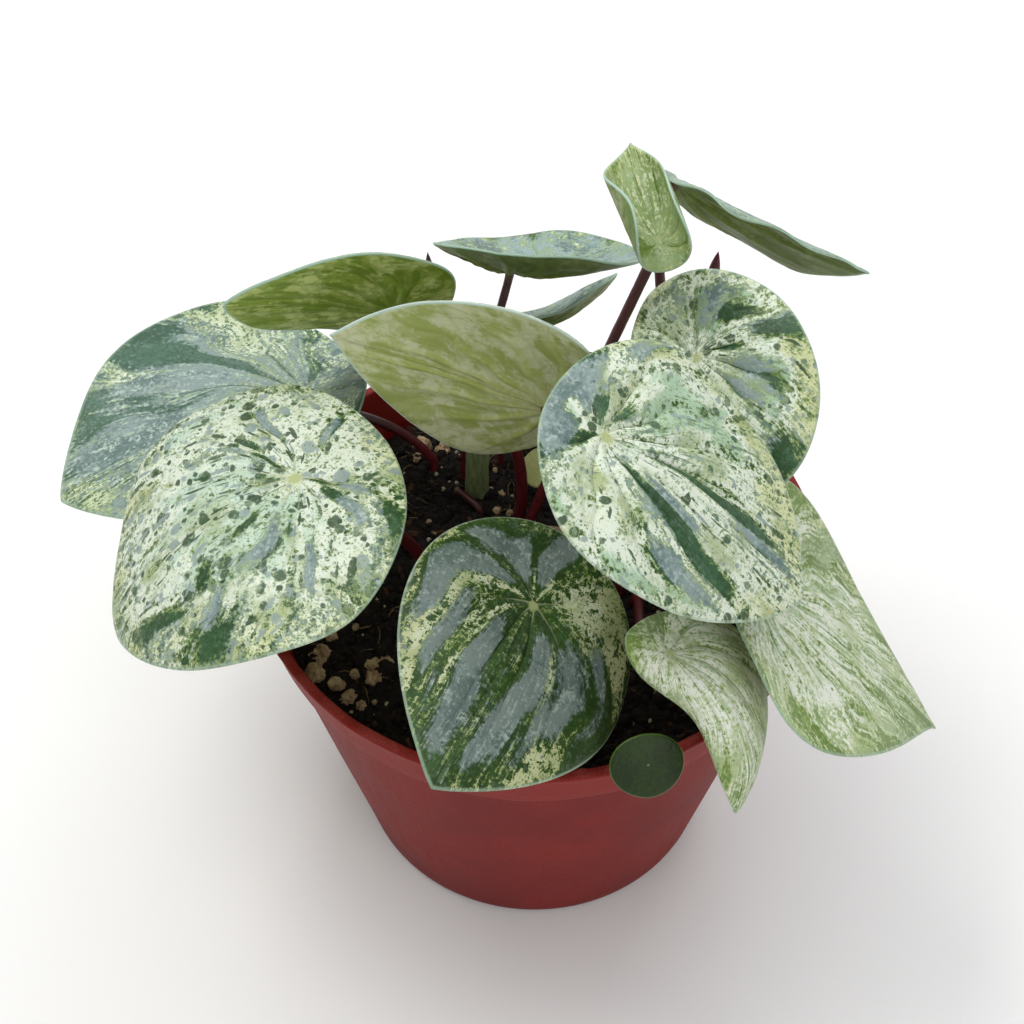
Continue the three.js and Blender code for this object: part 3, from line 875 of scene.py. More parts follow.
@dataclass(frozen=True)
class StalkForm:
    """Where a stalk leaves the soil and how it runs.

    Lean is how far it sets out towards its end: 0 is upright, 1 is straight there. Lift and meet
    are how long it keeps its first and last directions, as shares of its span.
    """

    root: tuple[float, float]
    radius: float
    lean: float = 0.0
    lift: float = 0.35
    meet: float = 0.3


@dataclass(frozen=True)
class LeafForm:
    """Where a blade is, how it lies and how far it reaches, in millimetres and degrees."""

    name: str
    navel: Point
    heading: float
    pitch: float
    roll: float
    tip: float
    base: float
    left: float
    right: float
    pointed: float
    tip_bend: float
    base_bend: float
    left_curl: float
    right_curl: float
    fold: float
    twist: float
    dimple: float
    wave: float
    waves: int
    phase: float
    stalk: StalkForm


@dataclass
class Leaf:
    """One shield-shaped leaf: its blade with both faces, and its stalk's line."""

    form: LeafForm
    upper: UpperFinish
    under: UnderFinish
    slot: Slot = Slot.UPPER
    cream: float = 0.4
    band: tuple[float, float] = (0.25, 0.75)
    warm: float = 0.2
    fringe: float = 0.0
    strokes: tuple[Stroke, ...] = ()
    rings: int = 46
    sectors: int = 176
    thickness: float = 1.1
    edge_thickness: float = 0.7
    edge_bulge: float = 0.22
    dimple_radius: float = 14.0
    crease: float = 3.0
    curl_steps: int = 24
    veins: int = 11
    vein_depth: float = 0.45
    quilting: float = 0.6
    vein_sweep: float = 0.42
    vein_hook: float = 0.0
    wander: float = 0.07

    def axes(self) -> Array:
        """The blade's own directions.

        Returns:
            Three rows: towards its tip, to its left, and out of its upper face.
        """
        form = self.form
        heading, pitch, roll = (math.radians(a) for a in (form.heading, form.pitch, form.roll))
        flat = math.cos(pitch)
        forward = np.array([flat * math.cos(heading), flat * math.sin(heading), math.sin(pitch)])
        level = np.array([-math.sin(heading), math.cos(heading), 0.0])
        above = np.cross(forward, level)
        left = level * math.cos(roll) + above * math.sin(roll)
        up = above * math.cos(roll) - level * math.sin(roll)
        return np.stack([forward, left, up])

    def outline(self, angle: Array) -> tuple[Array, Array]:
        """The flat outline about the navel.

        Args:
            angle: Angles in radians, 0 at the tip and plus or minus pi at the base.

        Returns:
            How far along and how far across the midrib each point is.
        """
        form = self.form
        half = (form.tip + form.base) / 2
        turn = np.abs(angle)
        probe = np.arange(0.02, math.pi, 0.02)
        widest = np.max(np.sin(probe) * np.sin(probe / 2) ** form.pointed)
        shape = np.maximum(0, np.sin(turn)) * np.sin(turn / 2) ** form.pointed
        width = np.where(angle >= 0, form.left, form.right)
        along = (form.tip - form.base) / 2 + half * np.cos(turn)
        return along, np.sign(angle) * width * shape / widest

    def bend(self, x: Array, y: Array, rise: Array) -> Array:
        """Bends flat points into place.

        Args:
            x: Along the midrib, in millimetres.
            y: Across it, positive to the left.
            rise: How far each point stands out of the blade's own surface.

        Returns:
            The points in the frame, in millimetres.
        """
        form = self.form
        tiny = 1e-6
        tip_turn = math.radians(form.tip_bend / form.tip) or tiny
        base_turn = math.radians(form.base_bend / form.base) or tiny
        along = np.where(x >= 0, tip_turn, base_turn)
        angle = along * x
        zero = np.zeros_like(x)
        spine = np.stack([np.sin(angle) / along, zero, -(1 - np.cos(angle)) / along], -1)
        tilt = math.radians(form.twist) * x / (form.tip + form.base)
        normal = np.stack([np.sin(angle), zero, np.cos(angle)], -1)
        level = np.array([0.0, 1.0, 0.0])
        cosine, sine = np.cos(tilt)[..., None], np.sin(tilt)[..., None]
        across = level * cosine + normal * sine
        out = normal * cosine - level * sine
        sideways, down = self.cross_section(y)
        dip = form.dimple * np.exp(-((np.hypot(x, y) / self.dimple_radius) ** 2))
        local = spine + across * sideways[..., None] + out * (rise - dip - down)[..., None]
        return np.array(form.navel) + local @ self.axes()

    def cross_section(self, y: Array) -> tuple[Array, Array]:
        """How far the fold and the curl carry points sideways and down.

        Args:
            y: How far across the midrib each point is on the flat blade, positive to the left.

        Returns:
            How far sideways and how far down each point goes, in millimetres.
        """
        form = self.form
        left, right = form.left_curl / form.left, form.right_curl / form.right
        curl = np.radians(np.where(y >= 0, left, right))
        step = np.abs(y) / self.curl_steps
        sideways, down = np.zeros_like(y), np.zeros_like(y)
        for n in range(self.curl_steps):
            out = (n + 0.5) * step
            slope = math.radians(form.fold) * (1 - np.exp(-out / self.crease)) + curl * out
            sideways += step * np.cos(slope)
            down += step * np.sin(slope)
        return np.sign(y) * sideways, down

    def relief(self, x: Array, y: Array, psi: Array, share: Array) -> Array:
        """Sunken veins and the quilting between them.

        Args:
            x: Along the midrib, in millimetres.
            y: Across it.
            psi: Which vein each point is on or between, in radians.
            share: How far out each point is, 0 to 1.

        Returns:
            The height of each point, in millimetres.
        """
        between = np.abs(np.sin(self.veins * psi / 2))
        arc = share * (self.form.tip + self.form.base) / 2
        gap = np.abs(np.angle(np.exp(1j * self.veins * psi))) / self.veins * arc
        crease = np.exp(-((gap / 0.9) ** 2)) * np.clip(arc / 3, 0, 1)
        envelope = np.clip((share - 0.04) / 0.2, 0, 1) * (1 - 0.8 * np.clip((share - 0.3) / 0.7, 0, 1))
        size = min(1.0, (self.form.tip + self.form.base) / 60)
        puckers = ripple_field(x, y, hash_of(self.form.name), 9, 9.0)
        quilt = self.quilting * size * envelope * (between ** 0.8 - 0.5)
        edge = np.clip(1 - share, 0, 0.15) / 0.15
        return quilt + (0.12 * puckers * size - self.vein_depth * size * crease * envelope) * edge

    def tones(self, x: Array, y: Array, psi: Array, share: Array) -> Array:
        """How silvery, how bleached and how yellow each point of the upper face is.

        Args:
            x: Along the midrib, in millimetres.
            y: Across it.
            psi: Which vein each point is on or between, in radians.
            share: How far out each point is, 0 to 1.

        Returns:
            One row of three for each point.
        """
        share = share + 0.6 * self.wander * ripple_field(x, y, hash_of(self.form.name) + 2, 8, 12.0)
        between = np.abs(np.sin(self.veins * psi / 2))
        low, high = self.band
        band = np.clip((between - low) / (high - low), 0, 1)
        band = band - 0.5 * np.exp(-share / 0.1) - 0.35 * np.clip((share - 0.86) / 0.14, 0, 1)
        margin = np.clip((share - 0.7) / 0.3, 0, 1)
        cream = self.cream + self.fringe * margin
        warm = self.warm + 0.35 * margin
        tones = np.stack([band, cream, warm], -1)
        for stroke in self.strokes:
            away = np.angle(np.exp(1j * (psi - math.radians(stroke.angle))))
            inside = np.exp(-(np.abs(away / math.radians(stroke.spread)) ** 3))
            inside = inside * np.clip((share - stroke.start + stroke.soft) / (2 * stroke.soft), 0, 1)
            inside = inside * np.clip((stroke.end + stroke.soft - share) / (2 * stroke.soft), 0, 1)
            tones += np.outer(stroke.strength * inside, stroke.ink.value)
        return tones

    def build(self) -> Piece:
        """Builds the blade, with its veins, both faces and its rounded edge.

        Returns:
            The piece.
        """
        form, rings, sectors = self.form, self.rings, self.sectors
        angle = -math.pi + math.tau * np.arange(sectors) / sectors
        edge_x, edge_y = self.outline(angle)
        share = np.concatenate([[0.0], np.repeat(np.arange(1, rings + 1) / rings, sectors)])
        x = np.concatenate([[0.0], np.tile(edge_x, rings)]) * share
        y = np.concatenate([[0.0], np.tile(edge_y, rings)]) * share
        phi = np.concatenate([[0.0], np.tile(angle, rings)])
        psi = phi + self.vein_sweep * share * (np.sin(phi) + self.vein_hook * np.sin(2 * phi))
        drift = ripple_field(x, y, hash_of(form.name) + 1, 8, 18.0)
        psi = psi + self.wander * np.clip(share / 0.3, 0, 1) * drift
        fullness = np.abs(edge_y) / np.where(angle >= 0, form.left, form.right)
        fullness = np.concatenate([[0.0], np.tile(fullness, rings)])
        swing = np.sin(form.waves * phi + math.radians(form.phase))
        ripple = form.wave * share ** 2 * fullness * swing
        height = ripple + self.relief(x, y, psi, share)
        middle = self.bend(x, y, height)
        faces = self.fan(rings, sectors)
        normals = vertex_normals(middle, faces)
        thick = self.thickness + (self.edge_thickness - self.thickness) * share
        thick = np.where(share > 0.999, thick * 0.72, thick)
        top = middle + normals * thick[:, None] / 2
        bottom = middle - normals * thick[:, None] / 2
        count = len(middle)
        last = 1 + (rings - 1) * sectors
        outward = middle[last:] - middle[last - sectors:last]
        outward /= np.linalg.norm(outward, axis=1)[:, None] + 1e-9
        rim = middle[last:] + outward * self.edge_bulge
        points = np.concatenate([top, bottom, rim]) * MM
        every = faces + [tuple(count + corner for corner in reversed(f)) for f in faces]
        for i in range(sectors):
            j = (i + 1) % sectors
            a, b, c, d = last + i, last + j, 2 * count + i, 2 * count + j
            every.append((a, c, d, b))
            every.append((c, count + a, count + b, d))
        materials = [self.upper.build(), self.under.build()]
        piece = solid_piece(f"leaf_{form.name}", points, every, materials)
        slots = [0] * len(faces) + [1] * len(faces) + [0, 1] * sectors
        piece.data.polygons.foreach_set("material_index", slots)
        measures = {
            "flat": np.stack([x, y, np.zeros_like(x)], -1),
            "vein": np.stack([np.cos(psi), np.sin(psi), share], -1),
            "tone": self.tones(x, y, psi, share),
        }
        for name, values in measures.items():
            store(piece, name, np.concatenate([values, values, values[last:]]))
        piece.data.validate()
        return settle(piece, self.slot, f"blade_{form.name}")

    @staticmethod
    def fan(rings: int, sectors: int) -> list[Face]:
        """The faces of a disc of rings about one middle point.

        Args:
            rings: How many rings of vertices.
            sectors: Vertices in each ring.

        Returns:
            The corners of each face.
        """
        faces = []
        for i in range(sectors):
            j = (i + 1) % sectors
            faces.append((0, 1 + i, 1 + j))
            for k in range(rings - 1):
                a, b = 1 + k * sectors, 1 + (k + 1) * sectors
                faces.append((a + i, b + i, b + j, a + j))
        return faces

    def stalk_end(self) -> tuple[Array, Array]:
        """Where the stalk's solid ends under the navel, and the direction it arrives in.

        Returns:
            The end in millimetres, and the blade's outward direction.
        """
        zero = np.zeros(1)
        up = self.axes()[2]
        ridge = self.form.stalk.radius * math.tan(math.radians(max(0.0, self.form.fold)))
        return self.bend(zero, zero, zero)[0] - up * (self.thickness / 2 + STALK_GAP + ridge), up


def hash_of(text: str) -> int:
    """A small number that is always the same for the same text."""
    return sum((n + 1) * ord(letter) for n, letter in enumerate(text))


def vertex_normals(points: Array, faces: list[Face]) -> Array:
    """Unit normals at the vertices of an open surface.

    Args:
        points: The vertices.
        faces: The corners of each face, three or four.

    Returns:
        One unit vector for each vertex.
    """
    total = np.zeros_like(points)
    for size in (3, 4):
        group = np.array([f for f in faces if len(f) == size])
        a, b, c = points[group[:, 0]], points[group[:, 1]], points[group[:, size - 1]]
        area = np.cross(b - a, c - a)
        for corner in range(size):
            np.add.at(total, group[:, corner], area)
    return total / (np.linalg.norm(total, axis=1)[:, None] + 1e-12)


# ---- stalks


@dataclass
class StalkSweep:
    """Sweeps round, tapered stalks along their lines with Geometry Nodes."""

    soil_top: float = 84.0
    foot: float = 69.0
    steps: int = 64
    sides: int = 14
    swelling: float = 0.3
    flare: float = 0.28
    thin_flare: float = 0.1
    material: Material = field(init=False)
    recipe: Recipe = field(init=False)

    def line(self, form: StalkForm, end: Array, arrival: Array) -> Array:
        """The stalk's centre line: upright in the soil, then out at its lean and on to its end.

        Args:
            form: Where it leaves the soil and how it runs.
            end: Where it ends.
            arrival: The direction that it arrives in.

        Returns:
            The points of the line, in millimetres.
        """
        start = np.array([*form.root, self.soil_top])
        span = np.linalg.norm(end - start)
        rise = np.array([0, 0, 1 - form.lean]) + (end - start) * form.lean / span
        first = start + rise / np.linalg.norm(rise) * span * form.lift
        second = end - arrival * span * form.meet
        t = np.linspace(0, 1, self.steps)[:, None]
        curve = (1 - t) ** 3 * start + 3 * (1 - t) ** 2 * t * first
        curve = curve + 3 * (1 - t) * t ** 2 * second + t ** 3 * end
        return np.concatenate([[[*form.root, self.foot]], curve])

    def __post_init__(self) -> None:
        """Makes the stalks' finish and their tree, once for all of them."""
        self.material = StalkFinish().build()
        self.recipe = self.skinning()

    def skinning(self) -> Recipe:
        """The sweep's tree: a line becomes a curve, gets its radius, and is skinned.

        Returns:
            The tree.
        """
        sizes = {"Radius": 0.0015, "Swelling": self.swelling, "Flare": self.flare, "Sides": self.sides}
        recipe = Recipe("stalk_sweep", sizes)
        entry = recipe.entry
        curve = recipe.node("GeometryNodeMeshToCurve", {"Mesh": entry["Guide"]})
        along = recipe.node("GeometryNodeSplineParameter", {}).outputs["Factor"]
        stored = {"Geometry": curve.outputs[0], "Name": "sweep", "Value": recipe.join(along, 0.0, 0.0)}
        keep = recipe.node("GeometryNodeStoreNamedAttribute", stored, data_type="FLOAT_VECTOR",
                           domain="POINT")
        foot, head = recipe.step(along, 0.3, 0.02), recipe.step(along, 0.965, 1.0)
        wobble = recipe.node("ShaderNodeTexNoise", {"Scale": 260.0}).outputs[0]
        widen = recipe.layer(head, entry["Flare"], recipe.layer(foot, entry["Swelling"], 1.0))
        widen = recipe.math("ADD", widen, recipe.layer(wobble, 0.16, -0.08))
        radius = recipe.times(widen, entry["Radius"])
        fatten = recipe.node("GeometryNodeSetCurveRadius", {"Curve": keep.outputs[0], "Radius": radius})
        ring = recipe.node("GeometryNodeCurvePrimitiveCircle", {"Resolution": entry["Sides"], "Radius": 1.0})
        skinned = {"Curve": fatten.outputs[0], "Profile Curve": ring.outputs[0], "Fill Caps": True}
        skin = recipe.node("GeometryNodeCurveToMesh", skinned)
        if "Scale" in skin.inputs:
            recipe.feed(skin.inputs["Scale"], radius)
        recipe.end(skin.outputs[0], smooth=True)
        return recipe

    def build(self, name: str, node: str, line: Array, radius: float, flare: float) -> Piece:
        """Builds one stalk.

        Args:
            name: The piece's name.
            node: The solid that it replaces.
            line: Its centre line, in millimetres.
            radius: Its radius, in millimetres.
            flare: How much wider it ends.

        Returns:
            The piece.
        """
        mesh = bpy.data.meshes.new(name + "_line")
        edges = [(n, n + 1) for n in range(len(line) - 1)]
        mesh.from_pydata((line * MM).tolist(), edges, [])
        guide = placed(bpy.data.objects.new(name + "_guide", mesh))
        piece = self.recipe.grow(
            guide, name, Radius=radius * MM, Flare=flare, Swelling=self.swelling, Sides=self.sides,
            Finish=self.material)
        return settle(piece, Slot.STALK, node)


# ---- turned pieces


def lathe(profile: list[tuple[float, float]], sides: int) -> tuple[Array, list[Face]]:
    """Turns a profile about the Z axis into a closed shape.

    Args:
        profile: Radius and height from the lower pole to the upper pole, in millimetres.
        sides: Vertices round each ring.

    Returns:
        The points and the faces.
    """
    turn = math.tau * np.arange(sides) / sides
    points = [[0.0, 0.0, profile[0][1]]]
    for radius, height in profile[1:-1]:
        ring = np.stack([radius * np.cos(turn), radius * np.sin(turn), np.full(sides, height)], -1)
        points.extend(ring.tolist())
    points.append([0.0, 0.0, profile[-1][1]])
    rows = len(profile) - 2
    faces = []
    for i in range(sides):
        j = (i + 1) % sides
        faces.append((0, 1 + j, 1 + i))
        for k in range(rows - 1):
            a, b = 1 + k * sides, 1 + (k + 1) * sides
            faces.append((a + i, a + j, b + j, b + i))
        top = 1 + (rows - 1) * sides
        faces.append((top + i, top + j, len(points) - 1))
    return np.array(points), faces


@dataclass
class Pot:
    """The thin tapered pot with its outer lip band, worn rim and drain holes."""

    rim_radius: float = 65.0
    base_radius: float = 46.0
    height: float = 95.0
    wall: float = 1.4
    floor: float = 2.2
    lip_height: float = 12.5
    lip_step: float = 1.1
    drain_count: int = 6
    drain_radius: float = 3.5
    drain_circle: float = 28.0
    drain_reach: float = 4.0
    drain_sides: int = 40
    sharp_from: float = 50.0
    sides: int = 288
    finish: PotFinish = PotFinish()

    def wall_radius(self, height: float) -> float:
        """The outside radius of the plain wall at a height."""
        slope = (self.rim_radius - self.lip_step - self.base_radius) / self.height
        return self.base_radius + slope * height

    def profile(self) -> list[tuple[float, float]]:
        """The turned profile from the underside's middle, up the outside and down the inside.

        Returns:
            Radius and height of each point.
        """
        lip_foot, top = self.height - self.lip_height, self.height
        base, rim, plain = self.base_radius, self.rim_radius, self.wall_radius
        underside = [(0, 0), (12, 0), (24, 0), (34, 0), (base - 3, 0), (base - 1.4, 0.15),
                     (base - 0.3, 0.9), (plain(2.2), 2.2)]
        outside = [(plain(z), z) for z in np.linspace(5, lip_foot - 1.0, 16)]
        step = plain(lip_foot)
        lip = [(step - 0.02, lip_foot - 0.25), (step + 0.1, lip_foot + 0.02), (step + 0.7, lip_foot + 0.14),
               (step + 1.0, lip_foot + 0.5), (step + self.lip_step, lip_foot + 1.1)]
        lip += [(plain(z) + self.lip_step, z) for z in np.linspace(lip_foot + 3, top - 1.6, 5)]
        inner_rim = rim - self.wall - self.lip_step
        crest = [(rim - 0.03, top - 0.8), (rim - 0.22, top - 0.2), (rim - 0.6, top),
                 (inner_rim + 0.55, top), (inner_rim + 0.2, top - 0.2), (inner_rim + 0.02, top - 0.7)]
        inside = [(plain(z) - self.wall, z) for z in np.linspace(top - 2, self.floor + 2, 16)]
        corner = plain(self.floor) - self.wall
        floor = [(corner - 0.6, self.floor + 0.2), (corner - 2, self.floor)]
        floor += [(radius, self.floor) for radius in (34, 24, 12, 0)]
        return underside + outside + lip + crest + inside + floor

    def build(self) -> Piece:
        """Builds the pot.

        Returns:
            The piece.
        """
        points, faces = lathe(self.profile(), self.sides)
        turn = np.arctan2(points[:, 1], points[:, 0])
        radius = np.hypot(points[:, 0], points[:, 1])
        ring = turn * self.rim_radius
        ragged = ripple_field(ring, ring * 0, 11, 12, 7.0)
        nicks = np.clip(ripple_field(ring, ring * 0, 5, 10, 13.0) - 1.2, 0, 1)
        near_rim = np.clip((points[:, 2] - self.height + 1.2) / 1.2, 0, 1)
        points[:, 2] -= near_rim * (0.16 + 0.14 * ragged + 0.7 * nicks).clip(0, 1.2)
        flash = np.clip(ripple_field(ring, ring * 0, 31, 14, 4.0) - 0.8, 0, 1)
        points[:, 2] += 0.8 * flash * near_rim * (radius < self.rim_radius - 1.5)
        outer = np.clip(points[:, 2] / 10, 0, 1) * (radius > 30)
        sway = 0.12 * ripple_field(ring, points[:, 2], 23, 8, 60.0) * outer
        scale = 1 - np.abs(sway) / np.maximum(radius, 1)
        points[:, :2] *= scale[:, None]
        piece = solid_piece("pot_shell", points * MM, faces, [self.finish.build()])
        self.drill(piece)
        return settle(piece, Slot.POT, "pot")

    def drill(self, piece: Piece) -> None:
        """Cuts the drain holes through the floor.

        Args:
            piece: The pot.
        """
        points, faces = [], []
        sides = self.drain_sides
        turn = math.tau * np.arange(sides) / sides
        for angle in math.tau * np.arange(self.drain_count) / self.drain_count:
            start = len(points)
            x = self.drain_circle * math.cos(angle) + self.drain_radius * np.cos(turn)
            y = self.drain_circle * math.sin(angle) + self.drain_radius * np.sin(turn)
            for height in (-self.drain_reach, self.drain_reach + self.floor):
                points.extend(np.stack([x, y, np.full(sides, height)], -1).tolist())
            for i in range(sides):
                j = (i + 1) % sides
                faces.append((start + i, start + j, start + sides + j, start + sides + i))
            faces.append(tuple(start + i for i in reversed(range(sides))))
            faces.append(tuple(start + sides + i for i in range(sides)))
        tool = solid_piece("drills", np.array(points) * MM, faces, [], smooth=False)
        cut = piece.modifiers.new("drains", "BOOLEAN")
        cut.operation, cut.object, cut.solver = "DIFFERENCE", tool, "EXACT"
        graph = bpy.context.evaluated_depsgraph_get()
        mesh = bpy.data.meshes.new_from_object(piece.evaluated_get(graph), depsgraph=graph)
        piece.modifiers.remove(cut)
        piece.data = mesh
        bpy.data.objects.remove(tool)
        mesh.set_sharp_from_angle(angle=math.radians(self.sharp_from))


@dataclass
class Stem:
    """A short fleshy stem: a lumpy turned shape that leans, with a dished, dry head."""

    name: str
    node: str
    at: tuple[float, float]
    radius: float
    height: float
    lean: tuple[float, float]
    finish: StemFinish
    soil: float = 80.0
    foot: float = 69.0
    sides: int = 72
    lumps: float = 0.25

    def build(self) -> Piece:
        """Builds the stem.

        Returns:
            The piece.
        """
        straight, top = self.soil + 2.5, self.soil + self.height
        r = self.radius
        climb = [(r * (1 - 0.06 * s), straight + s * (top - 0.6 - straight)) for s in np.linspace(0, 1, 28)]
        head = [(r * 0.9, top - 0.35), (r * 0.8, top - 0.08), (r * 0.66, top), (r * 0.5, top - 0.15),
                (r * 0.25, top - 0.5), (0, top - 0.6)]
        profile = [(0, self.foot), (r * 0.9, self.foot), (r, self.foot + 1)] + climb + head
        points, faces = lathe(profile, self.sides)
        turn = np.arctan2(points[:, 1], points[:, 0])
        seed = hash_of(self.name)
        lumps = ripple_field(turn * self.radius * 1.2, points[:, 2] * 0.35, seed, 8, 3.5)
        rings = np.sin(points[:, 2] * 0.9 + seed)
        scale = 1 - self.lumps * (0.5 + 0.5 * np.clip(lumps, -1, 1)) / r - 0.02 * np.clip(rings - 0.7, 0, 1)
        points[:, :2] *= scale[:, None]
        share = np.clip((points[:, 2] - straight) / (top - straight), 0, None)
        points[:, 0] += self.at[0] + self.lean[0] * share
        points[:, 1] += self.at[1] + self.lean[1] * share
        piece = solid_piece(self.name, points * MM, faces, [self.finish.build()])
        return settle(piece, Slot.STEM, self.node)


@dataclass
class Bud:
    """An unopened leaf rolled into a point, with the overlap of its roll showing."""

    name: str
    node: str
    stalk: StalkForm
    tip: Point
    length: float
    radius: float
    finish: BudFinish
    soil: float = 80.0
    sides: int = 40

    def axis(self) -> Array:
        """The direction that the bud points in."""
        root = self.stalk.root
        lean = 0.4 * np.array([self.tip[0] - root[0], self.tip[1] - root[1], 0.0])
        lean[2] = self.tip[2] - self.soil
        return lean / np.linalg.norm(lean)

    def build(self) -> Piece:
        """Builds the bud.

        Returns:
            The piece.
        """
        steps = np.linspace(0, 1, 26)
        foot = self.stalk.radius
        girth = [foot + (self.radius - foot) * math.sin(min(1, s / 0.3) * math.pi / 2) if s < 0.3
                 else self.radius * (1 - ((s - 0.3) / 0.7) ** 1.5) for s in steps]
        profile = [(0, 0)] + [(g, s * self.length) for g, s in zip(girth, steps)][:-1] + [(0, self.length)]
        points, faces = lathe(profile, self.sides)
        turn = np.arctan2(points[:, 1], points[:, 0])
        share = points[:, 2] / self.length
        seam = np.mod(turn + 3.2 * share, math.tau) / math.tau
        points[:, :2] *= (1 - 0.16 * (1 - seam) * np.clip(share * 5, 0, 1))[:, None]
        rotation = Vector((0, 0, 1)).rotation_difference(Vector(self.axis())).to_matrix()
        foot = np.array(self.tip) - self.axis() * self.length
        points = points @ np.array(rotation).T + foot
        piece = solid_piece(self.name, points * MM, faces, [self.finish.build()])
        return settle(piece, Slot.BUD, self.node)


# ---- soil


def crumb(name: str, dark: ScreenColour, light: ScreenColour, speck: ScreenColour,
          *looks: float) -> CrumbFinish:
    """A granular finish from colours as they are seen on a screen."""
    return CrumbFinish(name, srgb(*dark), srgb(*light), srgb(*speck), *looks)


@dataclass(frozen=True)
class Scatter:
    """One kind of loose piece strewn over the soil, with its sizes in millimetres."""

    name: str
    count: int
    smallest: float
    largest: float
    squash: Point
    detail: int
    roughness: float
    seed: int
    finish: CrumbFinish


SCATTERS = (
    Scatter("soil_crumbs", 3400, 0.45, 1.25, (1.0, 0.85, 0.7), 1, 0.5, 21,
            crumb("peat_crumb", (17, 13, 12), (42, 31, 25), (84, 66, 50), 0.9, 0.04)),
    Scatter("soil_clods", 420, 1.2, 2.3, (1.0, 0.85, 0.7), 2, 0.55, 22,
            crumb("peat_clod", (14, 11, 10), (34, 26, 22), (80, 62, 48), 0.9, 0.04)),
    Scatter("bark_chips", 190, 0.8, 1.9, (1.9, 0.7, 0.4), 1, 0.35, 23,
            crumb("bark_chip", (44, 28, 20), (92, 62, 42), (120, 92, 64), 1.2, 0.05)),
    Scatter("perlite_grains", 150, 0.3, 0.85, (1.0, 0.9, 0.8), 1, 0.3, 24,
            crumb("perlite", (176, 160, 128), (224, 216, 194), (244, 240, 228), 1.6, 0.2, 0.7)),
    Scatter("pumice_grains", 46, 0.7, 1.25, (1.0, 0.85, 0.75), 2, 0.35, 25,
            crumb("pumice", (148, 122, 88), (206, 184, 148), (96, 76, 56), 1.2, 0.14, 0.75)),
)

# Where the larger pale stones lie, and their radii, in millimetres.
STONES = (
    (-49, -23, 2.4), (-50, -28, 2.6), (-45, -31, 2.0), (-42, -35, 1.9), (-37, -26, 1.7),
    (-34, -25, 1.5), (-37, -30, 2.0), (-41, -28, 1.3), (-47, -18, 1.4), (-39, -37, 1.3),
    (-28, 43, 2.4), (-23, 41, 1.9), (-29, 38, 1.6), (-17, 38, 1.4), (-9, 20, 1.2),
    (-8, 25, 1.0), (8, 18, 1.2), (27, -34, 1.3), (31, -30, 1.0), (12, -45, 1.4),
    (-20, -44, 1.6), (2, -50, 1.2),
)


def disc(radius: float, rings: int, sectors: int) -> tuple[Array, Array]:
    """The flat points of a disc: its middle, then its rings from the inside out.

    Args:
        radius: Its radius.
        rings: How many rings of points.
        sectors: Points in each ring.

    Returns:
        The first and the second coordinate of each point.
    """
    radii = radius * np.arange(1, rings + 1) / rings
    turn = math.tau * np.arange(sectors) / sectors
    x, y = np.outer(radii, np.cos(turn)).ravel(), np.outer(radii, np.sin(turn)).ravel()
    return np.concatenate([[0.0], x]), np.concatenate([[0.0], y])


